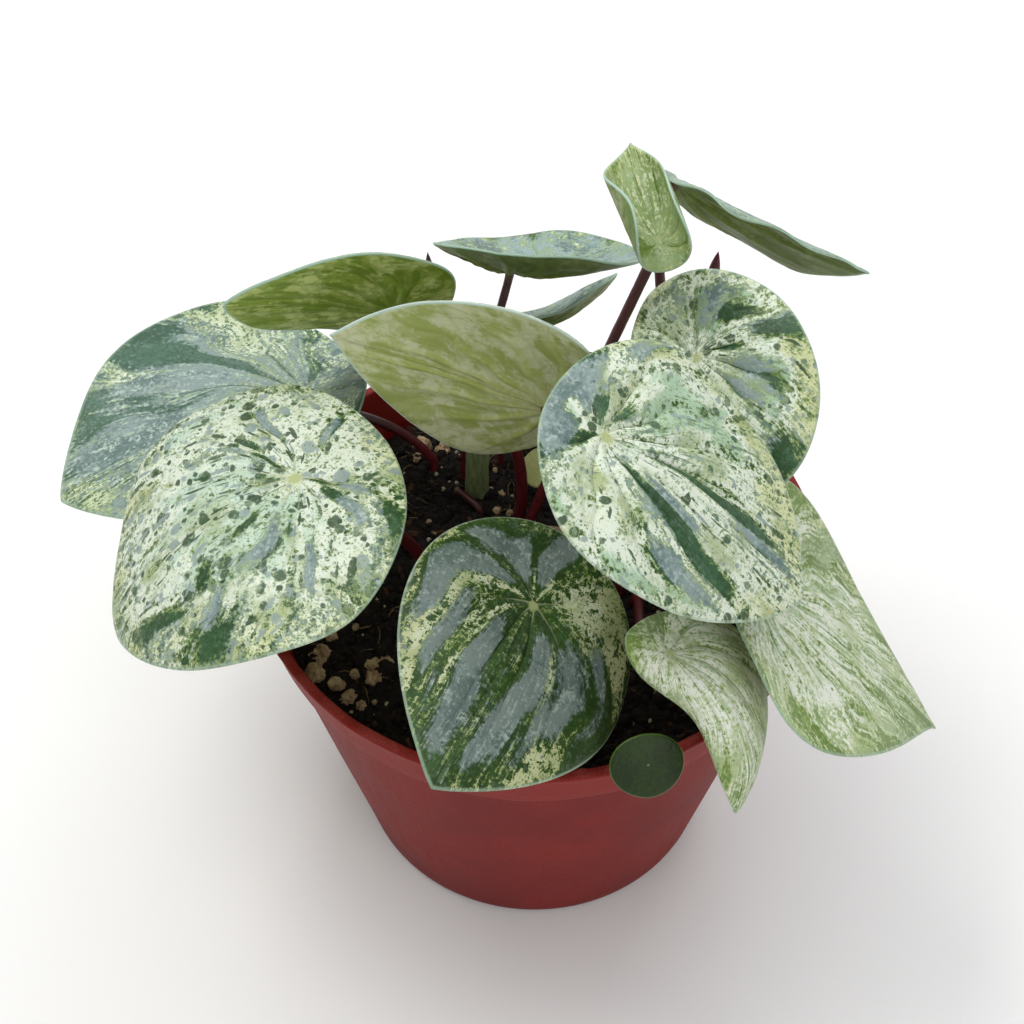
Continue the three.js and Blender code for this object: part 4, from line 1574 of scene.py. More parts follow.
@dataclass
class SoilBed:
    """The potting mix: a clodded block, with loose crumbs, bark, pumice and rootlets on it."""

    pot: Pot
    surface: float = 80.0
    crown: float = 2.0
    gap: float = 0.3
    roughness: float = 0.66
    level_band: float = 4.0
    rings: int = 120
    sectors: int = 300
    strewn: float = 57.5
    fibres: int = 120

    def inner(self, height: float) -> float:
        """The pot's inside radius at a height."""
        return self.pot.wall_radius(height) - self.pot.wall

    def height(self, x: Array, y: Array) -> Array:
        """The height of the soil, without its fine clods.

        Args:
            x: In millimetres.
            y: In millimetres.

        Returns:
            The heights.
        """
        r = np.hypot(x, y)
        edge = self.inner(self.surface)
        mound = self.crown * np.cos(math.pi / 2 * np.minimum(1, r / edge))
        clods = np.sin(0.61 * x + 1.3) * np.cos(0.53 * y - 0.4)
        clods += 0.6 * np.sin(1.13 * x - 0.87 * y) * np.cos(0.91 * x + 0.4 * y)
        level = np.minimum(1, (edge - r) / self.level_band)
        return self.surface + mound + self.roughness * clods * level

    def build(self) -> None:
        """Builds the block and everything strewn on it."""
        self.block()
        for kind in SCATTERS:
            self.strew(kind)
        self.stones()
        self.rootlets()

    def block(self) -> Piece:
        """Builds the clodded block that fills the pot.

        Returns:
            The piece.
        """
        radius = self.inner(self.surface) - self.gap
        x, y = disc(radius, self.rings, self.sectors)
        fine = 0.4 * ripple_field(x, y, 3, 24, 3.4) + 0.22 * ripple_field(x, y, 8, 30, 1.5)
        fine = np.where(np.hypot(x, y) > radius - 0.1, -0.3, fine)
        top = np.stack([x, y, self.height(x, y) + fine], -1)
        bottom = self.pot.floor + self.gap
        low = self.inner(bottom) - self.gap
        turn = math.tau * np.arange(self.sectors) / self.sectors
        foot = np.stack([low * np.cos(turn), low * np.sin(turn), np.full(self.sectors, bottom)], -1)
        points = np.concatenate([top, foot, [[0, 0, bottom]]])
        faces = Leaf.fan(self.rings, self.sectors)
        last = 1 + (self.rings - 1) * self.sectors
        for i in range(self.sectors):
            j = (i + 1) % self.sectors
            faces.append((last + i, len(top) + i, len(top) + j, last + j))
            faces.append((len(points) - 1, len(top) + j, len(top) + i))
        peat = crumb("peat_block", (15, 12, 11), (34, 26, 22), (90, 76, 60), 0.7, 0.05, 0.9)
        return settle(solid_piece("soil_block", points * MM, faces, [peat.build()]), Slot.SOIL, "soil")

    def bed(self, name: str) -> Piece:
        """An open sheet just on the soil, for things to be strewn on.

        Args:
            name: The sheet's name.

        Returns:
            The sheet.
        """
        rings, sectors = 30, 72
        x, y = disc(self.strewn, rings, sectors)
        points = np.stack([x, y, self.height(x, y)], -1)
        return solid_piece(name, points * MM, Leaf.fan(rings, sectors), [])

    def strew(self, kind: Scatter) -> Piece:
        """Strews one kind of loose piece over the soil with Geometry Nodes.

        Args:
            kind: What is strewn.

        Returns:
            The piece that holds them all.
        """
        sizes = dict.fromkeys(("Density", "Smallest", "Largest", "Jaggedness"), 0.0)
        recipe = Recipe(kind.name + "_tree", sizes)
        entry = recipe.entry
        ground = {"Mesh": entry["Guide"], "Density": entry["Density"], "Seed": kind.seed}
        spread = recipe.node("GeometryNodeDistributePointsOnFaces", ground)
        grain = recipe.node("GeometryNodeMeshIcoSphere", {"Radius": 1.0, "Subdivisions": kind.detail})
        turn = recipe.chance("FLOAT_VECTOR", kind.seed + 1, (0.0,) * 3, (math.tau,) * 3)
        size = recipe.chance("FLOAT", kind.seed + 2, entry["Smallest"], entry["Largest"])
        grains = {"Points": spread.outputs["Points"], "Instance": grain.outputs["Mesh"],
                  "Rotation": turn, "Scale": recipe.scaled(kind.squash, size)}
        instances = recipe.node("GeometryNodeInstanceOnPoints", grains)
        real = recipe.node("GeometryNodeRealizeInstances", {0: instances.outputs[0]})
        noise = recipe.node("ShaderNodeTexNoise", {"Scale": 620.0 / kind.largest, "Detail": 2.0})
        centred = recipe.moved(noise.outputs[1], (-0.5, -0.5, -0.5))
        jagged = {"Geometry": real.outputs[0], "Offset": recipe.scaled(centred, entry["Jaggedness"])}
        recipe.end(recipe.node("GeometryNodeSetPosition", jagged).outputs[0], smooth=False)
        area = math.pi * (self.strewn * MM) ** 2
        piece = recipe.grow(
            self.bed(kind.name + "_bed"), kind.name, Density=kind.count / area,
            Smallest=kind.smallest * MM, Largest=kind.largest * MM,
            Jaggedness=kind.roughness * kind.largest * MM, Finish=kind.finish.build())
        return settle(piece, Slot.SOIL)

    def ground(self, x: float, y: float) -> float:
        """The height of the soil at one place."""
        return float(self.height(np.array([float(x)]), np.array([float(y)]))[0])

    def stones(self) -> Piece:
        """The larger pale stones, most of them at the front left.

        Returns:
            The piece.
        """
        chooser = random.Random(77)
        rows, faces = [], []
        arc = np.linspace(0, math.pi, 12)
        sphere, shell = lathe([(math.sin(a), -math.cos(a)) for a in arc], 18)
        across, along = sphere[:, 0] * 3 + sphere[:, 2], sphere[:, 1] * 3 - sphere[:, 2]
        for x, y, size in STONES:
            bumps = ripple_field(across, along, chooser.randrange(1000), 12, 2.4)
            body = sphere * (size * (1 + 0.24 * bumps))[:, None] * (1.0, 0.86, 0.78)
            turn = Matrix.Rotation(chooser.uniform(0, math.tau), 3, "Z")
            tilt = Matrix.Rotation(chooser.uniform(-0.6, 0.6), 3, "X")
            body = body @ np.array(turn @ tilt).T
            start = len(rows)
            rows.extend((body + np.array([x, y, self.ground(x, y) + 0.35 * size])).tolist())
            faces.extend(tuple(start + corner for corner in f) for f in shell)
        finish = crumb("pumice_stone", (156, 124, 90), (216, 192, 156), (92, 70, 52), 1.0, 0.3, 0.8)
        piece = solid_piece("pumice_stones", np.array(rows) * MM, faces, [finish.build()], smooth=False)
        return settle(piece, Slot.SOIL)

    def fibre(self, chooser: random.Random) -> tuple[list[Point], float]:
        """One root fibre's wandering line.

        Args:
            chooser: Where its random draws come from.

        Returns:
            The points of the line and its radius, in millimetres.
        """
        reach = self.strewn * math.sqrt(chooser.uniform(0.02, 1))
        turn = chooser.uniform(0, math.tau)
        x, y = reach * math.cos(turn), reach * math.sin(turn)
        way = chooser.uniform(0, math.tau)
        radius = chooser.uniform(0.07, 0.2)
        line = []
        for n in range(chooser.randrange(8, 20)):
            way += chooser.uniform(-0.45, 0.45)
            x, y = x + 0.9 * math.cos(way), y + 0.9 * math.sin(way)
            if math.hypot(x, y) > self.strewn:
                break
            line.append((x, y, self.ground(x, y) + 0.5 + 0.5 * math.sin(0.7 * n)))
        return line, radius

    def rootlets(self) -> Piece:
        """Fine roots and fibres that lie on the soil.

        Returns:
            The piece.
        """
        chooser = random.Random(19)
        rows, faces = [], []
        sides = 5
        for _ in range(self.fibres):
            line, radius = self.fibre(chooser)
            if len(line) < 4:
                continue
            start = len(rows)
            for n, (px, py, pz) in enumerate(line):
                fade = radius * math.sin(math.pi * (n + 0.6) / (len(line) + 0.2)) ** 0.5
                ahead, behind = line[min(n + 1, len(line) - 1)], line[max(n - 1, 0)]
                side = np.array([behind[1] - ahead[1], ahead[0] - behind[0], 0.0])
                side /= np.linalg.norm(side) + 1e-9
                for i in range(sides):
                    angle = math.tau * i / sides
                    offset = side * fade * math.cos(angle) + np.array([0, 0, fade * math.sin(angle)])
                    rows.append((px + offset[0], py + offset[1], pz + offset[2]))
            for n in range(len(line) - 1):
                a, b = start + n * sides, start + (n + 1) * sides
                for i in range(sides):
                    j = (i + 1) % sides
                    faces.append((a + i, b + i, b + j, a + j))
            faces.append(tuple(start + i for i in range(sides)))
            end = start + (len(line) - 1) * sides
            faces.append(tuple(end + i for i in reversed(range(sides))))
        finish = crumb("root_fibre", (92, 70, 44), (164, 140, 96), (190, 170, 130), 1.5, 0.05, 0.8)
        piece = solid_piece("root_fibres", np.array(rows) * MM, faces, [finish.build()])
        return settle(piece, Slot.SOIL)


# ---- studio


@dataclass(frozen=True)
class Studio:
    """A plain pale floor, soft light and the camera above the plant's front."""

    target: Point = (-5.3, 0.0, 103.5)
    elevation: float = 48.5
    distance: float = 339.0
    roll: float = -0.5
    lens: float = 52.73
    sensor: float = 36.0

    def floor(self) -> None:
        """Lays the floor."""
        bench = Bench("studio_floor")
        cloud = bench.noise(bench.position(), 0.01, 2.0, 0.5)
        colour = bench.mix(cloud.outputs[0], srgb(248, 248, 247), srgb(251, 251, 250))
        material = bench.finish(colour, 0.8, cloud.outputs[0], 0.02)
        sides, reach, drop = 64, 6.0, 0.0002
        turn = math.tau * np.arange(sides) / sides
        points = np.stack([reach * np.cos(turn), reach * np.sin(turn), np.full(sides, -drop)], -1)
        solid_piece("studio_floor", points, [tuple(range(sides))], [material])

    def lights(self) -> None:
        """Hangs the lamps and sets the sky."""
        world = bpy.data.worlds.new("sky")
        bpy.context.scene.world = world
        world.use_nodes = True
        sky = world.node_tree.nodes["Background"]
        sky.inputs["Color"].default_value = (0.98, 0.99, 1.0, 1.0)
        sky.inputs["Strength"].default_value = 0.42
        self.lamp("ceiling", (0.15, 0.1, 1.7), 1.6, 8.0, (1.0, 1.0, 1.0))
        self.lamp("key", (-0.45, 0.25, 0.95), 0.5, 4.4, (1.0, 0.985, 0.95))
        self.lamp("back", (0.3, 0.75, 0.7), 0.6, 2.2, (0.9, 0.96, 1.0))
        self.lamp("fill", (0.35, -0.75, 0.6), 0.8, 2.0, (1.0, 1.0, 1.0))

    @staticmethod
    def lamp(name: str, place: Point, size: float, power: float, colour: Colour) -> None:
        """Hangs one soft square lamp that faces the plant.

        Args:
            name: The lamp's name.
            place: Where it hangs, in metres.
            size: Its side, in metres.
            power: Its power, in watts.
            colour: Its colour.
        """
        light = bpy.data.lights.new(name, "AREA")
        light.shape, light.size, light.energy, light.color = "SQUARE", size, power, colour
        aim = (Vector((0, 0, 0.1)) - Vector(place)).to_track_quat("-Z", "Y").to_matrix().to_4x4()
        placed(bpy.data.objects.new(name, light)).matrix_world = Matrix.Translation(place) @ aim

    def camera(self) -> None:
        """Sets the camera up."""
        tilt, turn = math.radians(self.elevation), math.radians(self.roll)
        back = Vector((0, -math.cos(tilt), math.sin(tilt)))
        right = Vector((1, 0, 0))
        up = back.cross(right)
        sideways = right * math.cos(turn) + up * math.sin(turn)
        upwards = up * math.cos(turn) - right * math.sin(turn)
        place = (Vector(self.target) + back * self.distance) * MM
        lens = bpy.data.cameras.new("camera")
        lens.lens, lens.sensor_width, lens.clip_start, lens.clip_end = self.lens, self.sensor, 0.01, 20.0
        made = placed(bpy.data.objects.new("camera", lens))
        rows = Matrix((sideways, upwards, back)).transposed().to_4x4()
        made.matrix_world = Matrix.Translation(place) @ rows
        bpy.context.scene.camera = made

    def build(self) -> None:
        """Builds the whole studio."""
        self.floor()
        self.lights()
        self.camera()
        bpy.context.scene.view_settings.view_transform = "Standard"
        log.info("studio ready")


# ---- the plant


FORMS = {form.name: form for form in (
    LeafForm("rear_left", (-56, 38, 108), 207, -5, 17, 62, 15, 33, 46, 0.54, 8, -3, 11, -20, 0, -12, 3,
        1.2, 5, 40, StalkForm((-25, 35), 1.2, 0.5, 0.6, 0.15)),
    LeafForm("front_left", (-50, -13, 132), 207, -4, 6, 53, 21, 39, 36, 0.26, 53, 19, 22, 8, 0, 7, 3, 1,
        5, 90, StalkForm((-24, -4), 1.5, 0.3, 0.6, 0.2)),
    LeafForm("centre", (3, 2.5, 136), 174, 19, 83, 48, 7, 33, 25, 1.14, 2, 9, 37, -8, 0, 15, 2, 0.8, 4, 0,
        StalkForm((12, 12), 1.4, 0.3, 0.35, 0.3)),
    LeafForm("upper_left", (-32, 37, 134), 196, 17, 67, 39, 13, 26, 23, 0.53, 8, 5, 14, -21, 0, -1, 2,
        0.8, 4, 120, StalkForm((-3.5, 16.5), 1.4, -0.25, 0.8, 0.2)),
    LeafForm("centre_right", (13, -29, 159), -20, -30, 2, 53, 13, 31, 26, 0.48, 19, 18, 12, 17, 0, 1, 3,
        0.8, 5, 200, StalkForm((14, 1), 1.5, 0.3, 0.35, 0.3)),
    LeafForm("rear_right", (33, 11, 141), -64, -15, 41, 34, 18.5, 22.5, 15.5, 0.12, 26, 7, 24, 15, 0, -8,
        3, 1, 5, 30, StalkForm((19, 13), 1.5, 0.4, 0.35, 0.3)),
    LeafForm("lower_right", (45, -30, 117), -4, -44, -4, 70, 10, 34, 34, 1.4, 8, 18, -10, 5, 0, -2, 2, 1,
        4, 10, StalkForm((20, -6), 1.5, 0.6, 0.4, 0.3)),
    LeafForm("lower_small", (25, -53, 124), -33, -10, -22, 41, 9, 24, 10, 0.56, 88, 16, 16, 150, 0, 4, 2,
        0.5, 4, 60, StalkForm((23, -10), 1.1, 0.5, 0.4, 0.3)),
    LeafForm("front", (0, -38, 120), -113, 4, -28, 48, 18, 31, 25, 0.74, 9, -3, 40, 24, 0, 0, 3, 0.7, 4,
        150, StalkForm((3, -4), 1.4, 0.3, 0.35, 0.3)),
    LeafForm("back", (-5, 54, 130), 191, 21, 30, 20, 33, 24, 21, 0.3, -14, -33, -19, -17, -7, 10, 1, 0.5,
        5, 0, StalkForm((-17, 31), 1, 0, 0.35, 0.15)),
    LeafForm("upright", (26, 26, 160), 105, 25, -10, 23, 7, 21, 13, 1.36, 0, 10, -70, -74, -42, -20, 1,
        0.5, 3, 0, StalkForm((-1, 14.5), 1.2, 0.9, 0.45, 0.05)),
    LeafForm("upper_right", (33, 57, 153), -32, -16, -55, 48, 7, 30, 10, 1, -11, 25, -60, -6, 24, -2, 1,
        0.9, 9, 58, StalkForm((36, 34), 1.2, 0.2, 0.35, 0.2)),
    LeafForm("behind_centre", (-1, 54, 112.5), 33, -23, -36, 33, 9, 15, 8, 0.12, -40, -29, 27, 0, -31,
        -22, 1, 0.3, 4, 0, StalkForm((-8, 36), 0.8, 0, 0.35, 0.25)),
    LeafForm("rim_seedling", (21, -67, 104), -80, -50, 0, 7, 6, 7.5, 7.5, 0.1, 10, 10, 15, 15, 0, 0, 0.5,
        0.2, 3, 0, StalkForm((17, -53), 0.7, 0, 0.35, 0.3)),
    LeafForm("young", (1, 27, 92), -95, -20, 30, 7, 3.5, 5, 5, 0.4, 10, 10, 15, 15, 0, 0, 0.3, 0.2, 3, 0,
        StalkForm((5, 30), 0.7, 0, 0.35, 0.3)),
)}


def laid(ink: Ink, *marks: tuple[float, ...]) -> tuple[Stroke, ...]:
    """Strokes of one ink, each from its angle, spread, start, end and strength."""
    return tuple(Stroke(ink, *mark) for mark in marks)


def marbled(name: str, seed: int, upper: Looks, under: Looks, **rest: object) -> Leaf:
    """One leaf of the plant.

    Args:
        name: The name of its form, which its finishes are named after.
        seed: Picks its own part of the noises.
        upper: What differs from the usual upper face.
        under: What differs from the usual underside.
        **rest: The blade's tones, strokes and relief.

    Returns:
        The leaf.
    """
    upper_finish = UpperFinish(f"marbled_{name}", seed, **upper)
    return Leaf(FORMS[name], upper_finish, UnderFinish(f"under_{name}", seed, **under), **rest)


def leaves() -> list[Leaf]:
    """The plant's leaves, each with its own marbling.

    Returns:
        The leaves.
    """
    dark, silver, cream, warm, mint = Ink.DARK, Ink.SILVER, Ink.CREAM, Ink.WARM, Ink.MINT
    shaded = dict(olive=srgb(120, 138, 78), moss=srgb(98, 118, 54), pale=srgb(148, 162, 110), pallor=0.38)
    # Upper faces of the leaves towards the back: their own marbling, with the silver painted paler and bluer
    # as a painted reflection of the sky, and few specks and spots.
    marbling_and_sky_sheen = dict(silver=srgb(160, 182, 182), glint=srgb(196, 212, 206), dark=srgb(104, 126, 76),
                 deep=srgb(84, 106, 56), specks=0.3, dots=0.1, blots=0.05)
    grassy = dict(dark=srgb(122, 148, 76), deep=srgb(96, 124, 52), silver=srgb(168, 186, 144),
                  white=srgb(230, 234, 220), pewter=srgb(128, 150, 98), glint=srgb(220, 228, 200),
                  lace=srgb(158, 180, 98), frost_and_glint=0.8, combing=1.6, graining=1.1, soft=0.2, specks=0.4,
                  dots=0.06, blots=0.04)
    plain = dict(star=0.0, lines=0.0)
    hidden = dict(cream=0.25, band=(-0.8, 0.6))
    young = dict(cream=-2.0, band=(2.4, 3.4), rings=24, sectors=96, quilting=0.1, vein_depth=0.04)
    return [
        marbled(
            "rear_left", 1,
            dict(dark=srgb(84, 116, 98), deep=srgb(64, 94, 74), glint=srgb(188, 206, 192),
                 butter=srgb(202, 212, 178), combing=1.3, graining=1.1, lacing=0.6, frost_and_glint=1.0,
                 dots=0.08, blots=0.05, lines=0.1),
            {}, cream=0.24, band=(-0.3, 0.8), warm=0.1,
            strokes=(
                laid(dark, (-98, 8, 0.3, 1.0, 0.6), (-54, 6, 0.4, 1.0, 0.45), (-70, 6, 0.85, 1.0, 0.5),
                     (-16, 4, 0.4, 0.9, 0.35), (-112, 6, 0.85, 1.0, 0.7))
                + laid(silver, (-76, 12, 0.3, 0.85, 0.4), (-32, 14, 0.3, 0.95, 0.4))
                + laid(cream, (-134, 16, 0.45, 0.95, 0.3), (-85, 6, 0.75, 1.0, 0.35),
                       (15, 35, 0.9, 1.0, 0.3))
                + laid(warm, (-134, 20, 0.6, 1.0, 0.4), (15, 35, 0.85, 1.0, 0.6)))),
        marbled(
            "front_left", 2,
            dict(dark=srgb(56, 92, 54), deep=srgb(38, 70, 34), mint=srgb(186, 209, 190), specks=0.8,
                 dots=0.8, dot_cells=0.25, blots=0.5, combing=0.45, graining=1.1, lacing=0.5, fray=1.3,
                 wash=0.5, lines=0.1),
            {}, cream=0.72, band=(0.3, 0.8), warm=0.1, fringe=-0.24, vein_depth=0.3, quilting=0.5,
            strokes=(
                laid(dark, (46, 5, 0.26, 0.4, 0.9), (49, 7, 0.5, 0.66, 0.9), (43, 7, 0.76, 0.88, 0.9),
                     (78, 6, 0.76, 0.96, 0.8), (160, 7, 0.1, 0.3, 0.9), (146, 6, 0.25, 0.5, 0.9),
                     (154, 5, 0.82, 0.93, 0.9), (-102, 4, 0.34, 0.5, 0.9), (-91, 6, 0.2, 0.3, 0.9),
                     (-44, 8, 0.1, 0.2, 0.9), (87, 4, 0.4, 0.5, 0.9), (-31, 3, 0.62, 0.72, 0.9),
                     (84, 4, 0.52, 0.6, 0.8))
                + laid(silver, (161, 6, 0.38, 0.72, 0.9), (142, 4, 0.5, 0.68, 0.8),
                       (-134, 3, 0.4, 0.7, 0.9), (-164, 3, 0.4, 0.85, 0.9), (-84, 4, 0.54, 0.62, 0.9),
                       (-88, 4, 0.38, 0.46, 0.8), (76, 8, 0.34, 0.5, 0.8), (113, 4, 0.55, 0.7, 0.9),
                       (100, 3, 0.6, 0.74, 0.8), (127, 3, 0.8, 0.92, 0.9), (66, 6, 0.64, 0.82, 0.8))
                + laid(mint, (60, 45, 0.1, 0.6, 0.7), (-110, 30, 0.75, 1.0, 0.5),
                       (-40, 40, 0.1, 0.6, 0.4))
                + laid(cream, (60, 60, 0.88, 1.0, -0.14)))),
        marbled(
            "centre", 3, dict(edge=srgb(200, 218, 210)),
            dict(olive=srgb(184, 192, 126), moss=srgb(162, 174, 94), pale=srgb(218, 220, 184),
                 vein=srgb(186, 196, 98), pallor=0.6, showing=0.5, edge=srgb(196, 214, 204)),
            slot=Slot.UNDER, cream=0.5, vein_depth=0.25),
        marbled(
            "upper_left", 4, marbling_and_sky_sheen,
            dict(olive=srgb(158, 176, 76), moss=srgb(122, 146, 48), pale=srgb(218, 224, 150),
                 vein=srgb(112, 138, 48), pallor=0.5, showing=0.6),
            slot=Slot.UNDER, cream=0.4, vein_depth=0.25),
        marbled(
            "centre_right", 5,
            dict(specks=0.7, dots=0.35, blots=0.25, combing=1.1, graining=1.0, lacing=0.5, fray=1.2,
                 wash=0.5, lines=0.1),
            {}, cream=0.66, band=(0.35, 0.8), warm=0.1, fringe=-0.05, vein_depth=0.35, quilting=0.8,
            strokes=(
                laid(dark, (-66, 9, 0.08, 0.6, 1.0), (-68, 7, 0.5, 0.82, 1.0), (25, 6, 0.15, 0.78, 0.8),
                     (156, 7, 0.15, 0.5, 0.8), (-166, 8, 0.15, 0.45, 0.8), (120, 6, 0.1, 0.3, 0.7),
                     (-110, 5, 0.55, 0.68, 0.5))
                + laid(silver, (-50, 6, 0.28, 0.52, 0.9), (-82, 6, 0.3, 0.5, 0.5),
                       (-86, 6, 0.64, 0.86, 0.9), (12, 6, 0.62, 0.85, 0.6), (168, 12, 0.45, 1.0, 0.8),
                       (-170, 12, 0.5, 1.0, 0.8), (140, 6, 0.75, 1.0, 0.6), (-98, 5, 0.5, 0.62, 0.5))
                + laid(cream, (178, 4, 0.1, 0.8, 0.9), (-130, 25, 0.2, 0.8, 0.12),
                       (60, 50, 0.1, 1.0, -0.1), (0, 30, 0.5, 1.0, -0.08))
                + laid(mint, (95, 26, 0.3, 0.85, 0.45), (-105, 25, 0.85, 1.0, 0.8),
                       (-150, 12, 0.85, 1.0, 0.6))
                + laid(warm, (-130, 25, 0.3, 0.85, 0.1), (45, 40, 0.8, 1.0, 0.4)))),
        marbled(
            "rear_right", 6, dict(specks=0.7, dots=0.45, blots=0.3, lines=0.1),
            {}, cream=0.55, warm=0.1, vein_depth=0.35,
            strokes=(
                laid(mint, (149, 14, 0.3, 0.8, 0.8), (60, 30, 0.4, 0.8, 0.5))
                + laid(silver, (149, 9, 0.35, 0.8, 0.4), (40, 10, 0.25, 0.55, 0.8),
                       (70, 14, 0.35, 0.6, 0.5))
                + laid(dark, (133, 7, 0.5, 0.72, 0.8), (112, 8, 0.62, 0.98, 0.8),
                       (97, 7, 0.22, 0.42, 0.8), (14, 26, 0.84, 1.0, 0.6), (60, 7, 0.62, 0.74, 0.5))
                + laid(warm, (80, 22, 0.8, 1.0, 0.6)))),
        marbled(
            "lower_right", 7, grassy, {}, cream=0.56, band=(0.4, 0.9), warm=0.0, fringe=-0.3,
            strokes=(
                laid(silver, (103, 8, 0.62, 0.9, 0.8))
                + laid(dark, (0, 9, 0.2, 0.95, 0.25), (-60, 9, 0.5, 1.0, 0.25), (-25, 22, 0.7, 1.0, 0.3)))),
        marbled(
            "lower_small", 8, grassy, {}, cream=0.56, warm=0.05, fringe=-0.3,
            strokes=laid(dark, (0, 9, 0.1, 0.9, 0.3), (178, 20, 0.4, 1.0, 0.3))),
        marbled(
            "front", 9,
            # The front blade's own marbling, painted darker all over as painted shade.
            dict(dark=srgb(52, 82, 32), deep=srgb(36, 62, 20), lace=srgb(116, 140, 60),
                 silver=srgb(116, 130, 126), pewter=srgb(86, 104, 98), glint=srgb(166, 180, 172),
                 white=srgb(196, 202, 178), butter=srgb(190, 194, 152), wash=0.3, combing=1.0,
                 graining=1.0, lacing=0.9, frost_and_glint=0.7, specks=0.6, fray=1.25, dots=0.12, blots=0.1,
                 star=0.4, lines=0.1, veins=7),
            {}, cream=0.02, band=(0.75, 1.6), warm=0.3, fringe=0.18, vein_sweep=0.8, vein_hook=0.5,
            wander=0.04, veins=7, vein_depth=0.35,
            strokes=(
                laid(silver, (-71, 15, 0.28, 0.62, 0.9), (-56, 19, 0.5, 0.92, 0.9),
                     (77, 15, 0.22, 0.6, 0.9), (61, 18, 0.5, 0.8, 0.9), (49, 15, 0.68, 0.92, 0.8),
                     (107, 11, 0.36, 0.78, 0.75), (94, 7, 0.6, 0.9, 0.6), (128, 5, 0.55, 0.95, 0.65),
                     (-130, 7, 0.3, 0.92, 0.9), (-157, 8, 0.3, 0.72, 0.9), (-147, 5, 0.6, 0.9, 0.8),
                     (-110, 7, 0.5, 0.9, 0.7), (-96, 4, 0.78, 0.92, 0.6), (-176, 7, 0.3, 0.95, 0.6),
                     (0, 40, 0.93, 1.0, 0.6))
                + laid(dark, (131, 4, 0.7, 1.0, 0.8))
                + laid(cream, (-121, 8, 0.12, 0.95, 0.55), (-88, 5, 0.15, 0.78, 0.5),
                       (147, 22, 0.2, 0.92, 0.6), (104, 16, 0.76, 1.0, 0.45), (92, 10, 0.3, 0.75, 0.32),
                       (-104, 10, 0.3, 0.9, 0.3), (-118, 20, 0.88, 1.0, 0.25), (176, 4, 0.1, 0.5, 0.5),
                       (-168, 3, 0.1, 0.5, 0.5), (90, 5, 0.3, 0.8, 0.35), (40, 14, 0.85, 1.0, 0.3))
                + laid(warm, (110, 60, 0.7, 1.0, 0.4)))),
        marbled("back", 10, marbling_and_sky_sheen, shaded, **hidden),
        marbled(
            "upright", 11,
            dict(silver=srgb(166, 184, 140), pewter=srgb(140, 162, 104), dark=srgb(118, 142, 68),
                 deep=srgb(94, 122, 40), specks=0.3, dots=0.1, blots=0.05),
            dict(olive=srgb(140, 158, 92), moss=srgb(116, 140, 66)),
            cream=0.4, band=(-0.4, 0.8), warm=0.4,
            strokes=laid(dark, (0, 12, 0.2, 0.9, 0.7), (150, 30, 0.2, 0.8, 0.5))),
        marbled("upper_right", 12, marbling_and_sky_sheen, shaded, **hidden),
        marbled("behind_centre", 13, marbling_and_sky_sheen, shaded, slot=Slot.UNDER, **hidden),
        Leaf(
            FORMS["rim_seedling"],
            UpperFinish("plain_seedling", 14, dark=srgb(36, 58, 4), deep=srgb(26, 44, 2),
                        lace=srgb(66, 96, 24), butter=srgb(104, 132, 56), edge=srgb(86, 118, 40),
                        frost_and_glint=0.0, **plain),
            UnderFinish("under_seedling", 14, **shaded), **young),
        Leaf(
            FORMS["young"],
            UpperFinish("plain_young", 15, dark=srgb(182, 184, 126), deep=srgb(164, 168, 104),
                        edge=srgb(190, 194, 140), **plain),
            UnderFinish("under_young", 15, olive=srgb(182, 184, 126), moss=srgb(164, 168, 104)), **young),
    ]


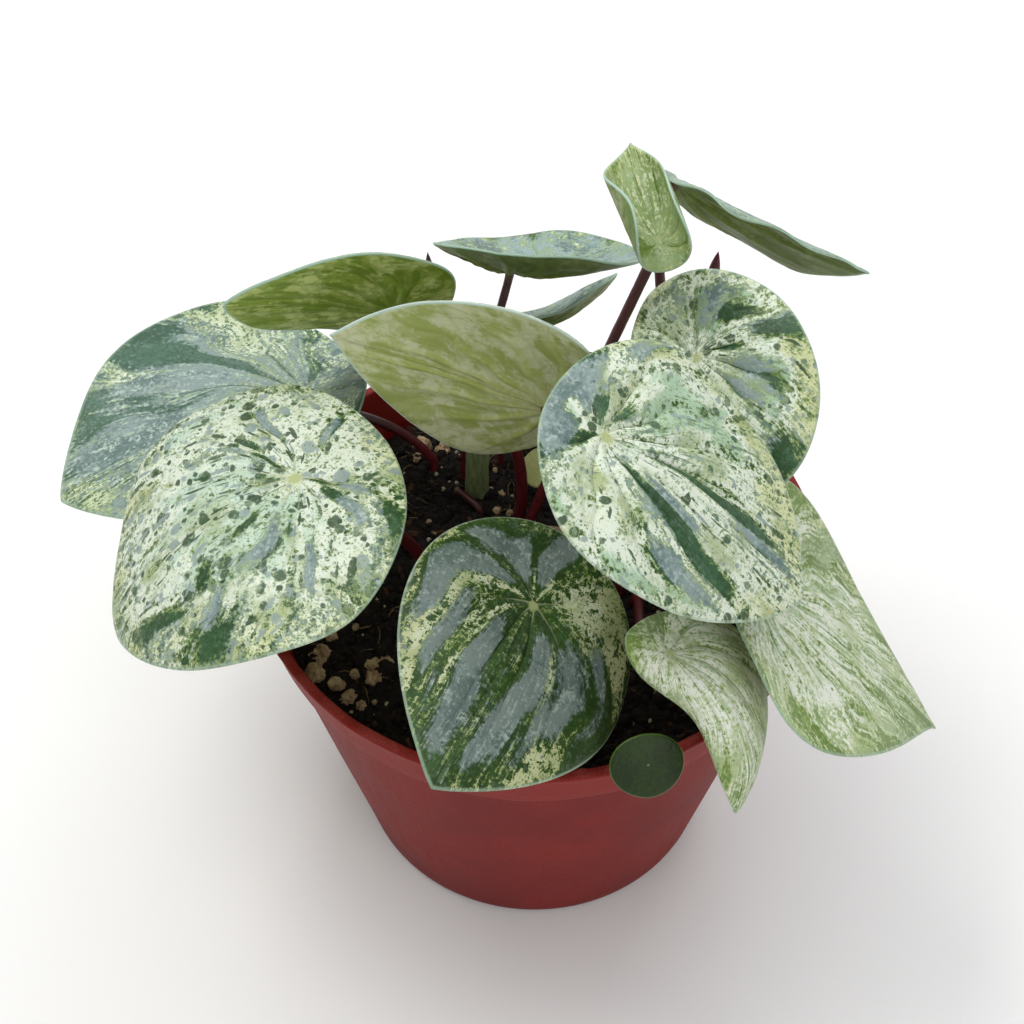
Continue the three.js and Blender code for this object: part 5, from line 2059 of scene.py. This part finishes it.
@dataclass
class Plant:
    """Everything that grows: leaves, stalks, crown, stumps and buds.

    The tucks are how far a stalk runs on into its blade or bud, in millimetres.
    """

    blade_tuck: float = 0.6
    bud_tuck: float = 0.5
    foliage: list[Leaf] = field(default_factory=leaves)
    sweep: StalkSweep = field(default_factory=StalkSweep)

    def build(self) -> None:
        """Builds the plant."""
        for leaf in self.foliage:
            leaf.build()
            end, up = leaf.stalk_end()
            form = leaf.form
            line = np.concatenate([self.sweep.line(form.stalk, end, up), [end + up * self.blade_tuck]])
            flare = self.sweep.flare if form.stalk.radius > 1 else self.sweep.thin_flare
            self.sweep.build(f"petiole_{form.name}", f"stalk_{form.name}", line, form.stalk.radius, flare)
        self.stems()
        self.buds()

    def stems(self) -> None:
        """Builds the crown, the old stump and the cut stub."""
        knot = StemFinish("crown_bark", srgb(96, 84, 60), srgb(58, 48, 36), srgb(128, 112, 84), 88.0)
        Stem("crown_knot", "crown", (4, 5), 4.6, 9, (0, 0), knot, lumps=0.8).build()
        skin = StemFinish("stump_skin", srgb(152, 166, 122), srgb(124, 140, 96), head=107.0)
        Stem("old_stump", "stem_stump", (-14, 26), 3.0, 28, (1, -2), skin).build()
        start = np.array([-13.0, 19.0, 82.0])
        t = np.linspace(0, 1, 24)[:, None]
        bend, end = start + (0, 0, 2), start + (-6, 5, 3)
        curve = (1 - t) ** 2 * start + 2 * (1 - t) * t * bend + t ** 2 * end
        line = np.concatenate([[[-13, 19, 69]], curve])
        self.sweep.build("cut_stub", "stem_stub", line, 0.9, 0.05)

    def buds(self) -> None:
        """Builds the two unopened leaves and their stalks."""
        rolls = (
            Bud("bud_tip_left", "bud_left", StalkForm((-19, 48), 0.9), (-26, 75, 118), 9, 1.5,
                BudFinish("bud_skin_left", foot=109, tip=118)),
            Bud("bud_tip_right", "bud_right", StalkForm((30, 38), 0.9), (43.5, 53, 135), 8, 1.5,
                BudFinish("bud_skin_right", srgb(92, 34, 44), srgb(110, 50, 54), 127, 135)),
        )
        for bud in rolls:
            bud.build()
            end = np.array(bud.tip) - bud.axis() * (bud.length + STALK_GAP)
            line = self.sweep.line(bud.stalk, end, bud.axis())
            line = np.concatenate([line, [end + bud.axis() * self.bud_tuck]])
            self.sweep.build(f"petiole_{bud.node}", f"stalk_{bud.node}", line, bud.stalk.radius, 0.0)


def main() -> None:
    """Builds the studio, the pot, the soil and the plant, in that order."""
    logging.basicConfig(level=logging.INFO, format="%(message)s")
    Studio().build()
    pot = Pot()
    pot.build()
    SoilBed(pot).build()
    Plant().build()


if __name__ == "__main__":
    main()
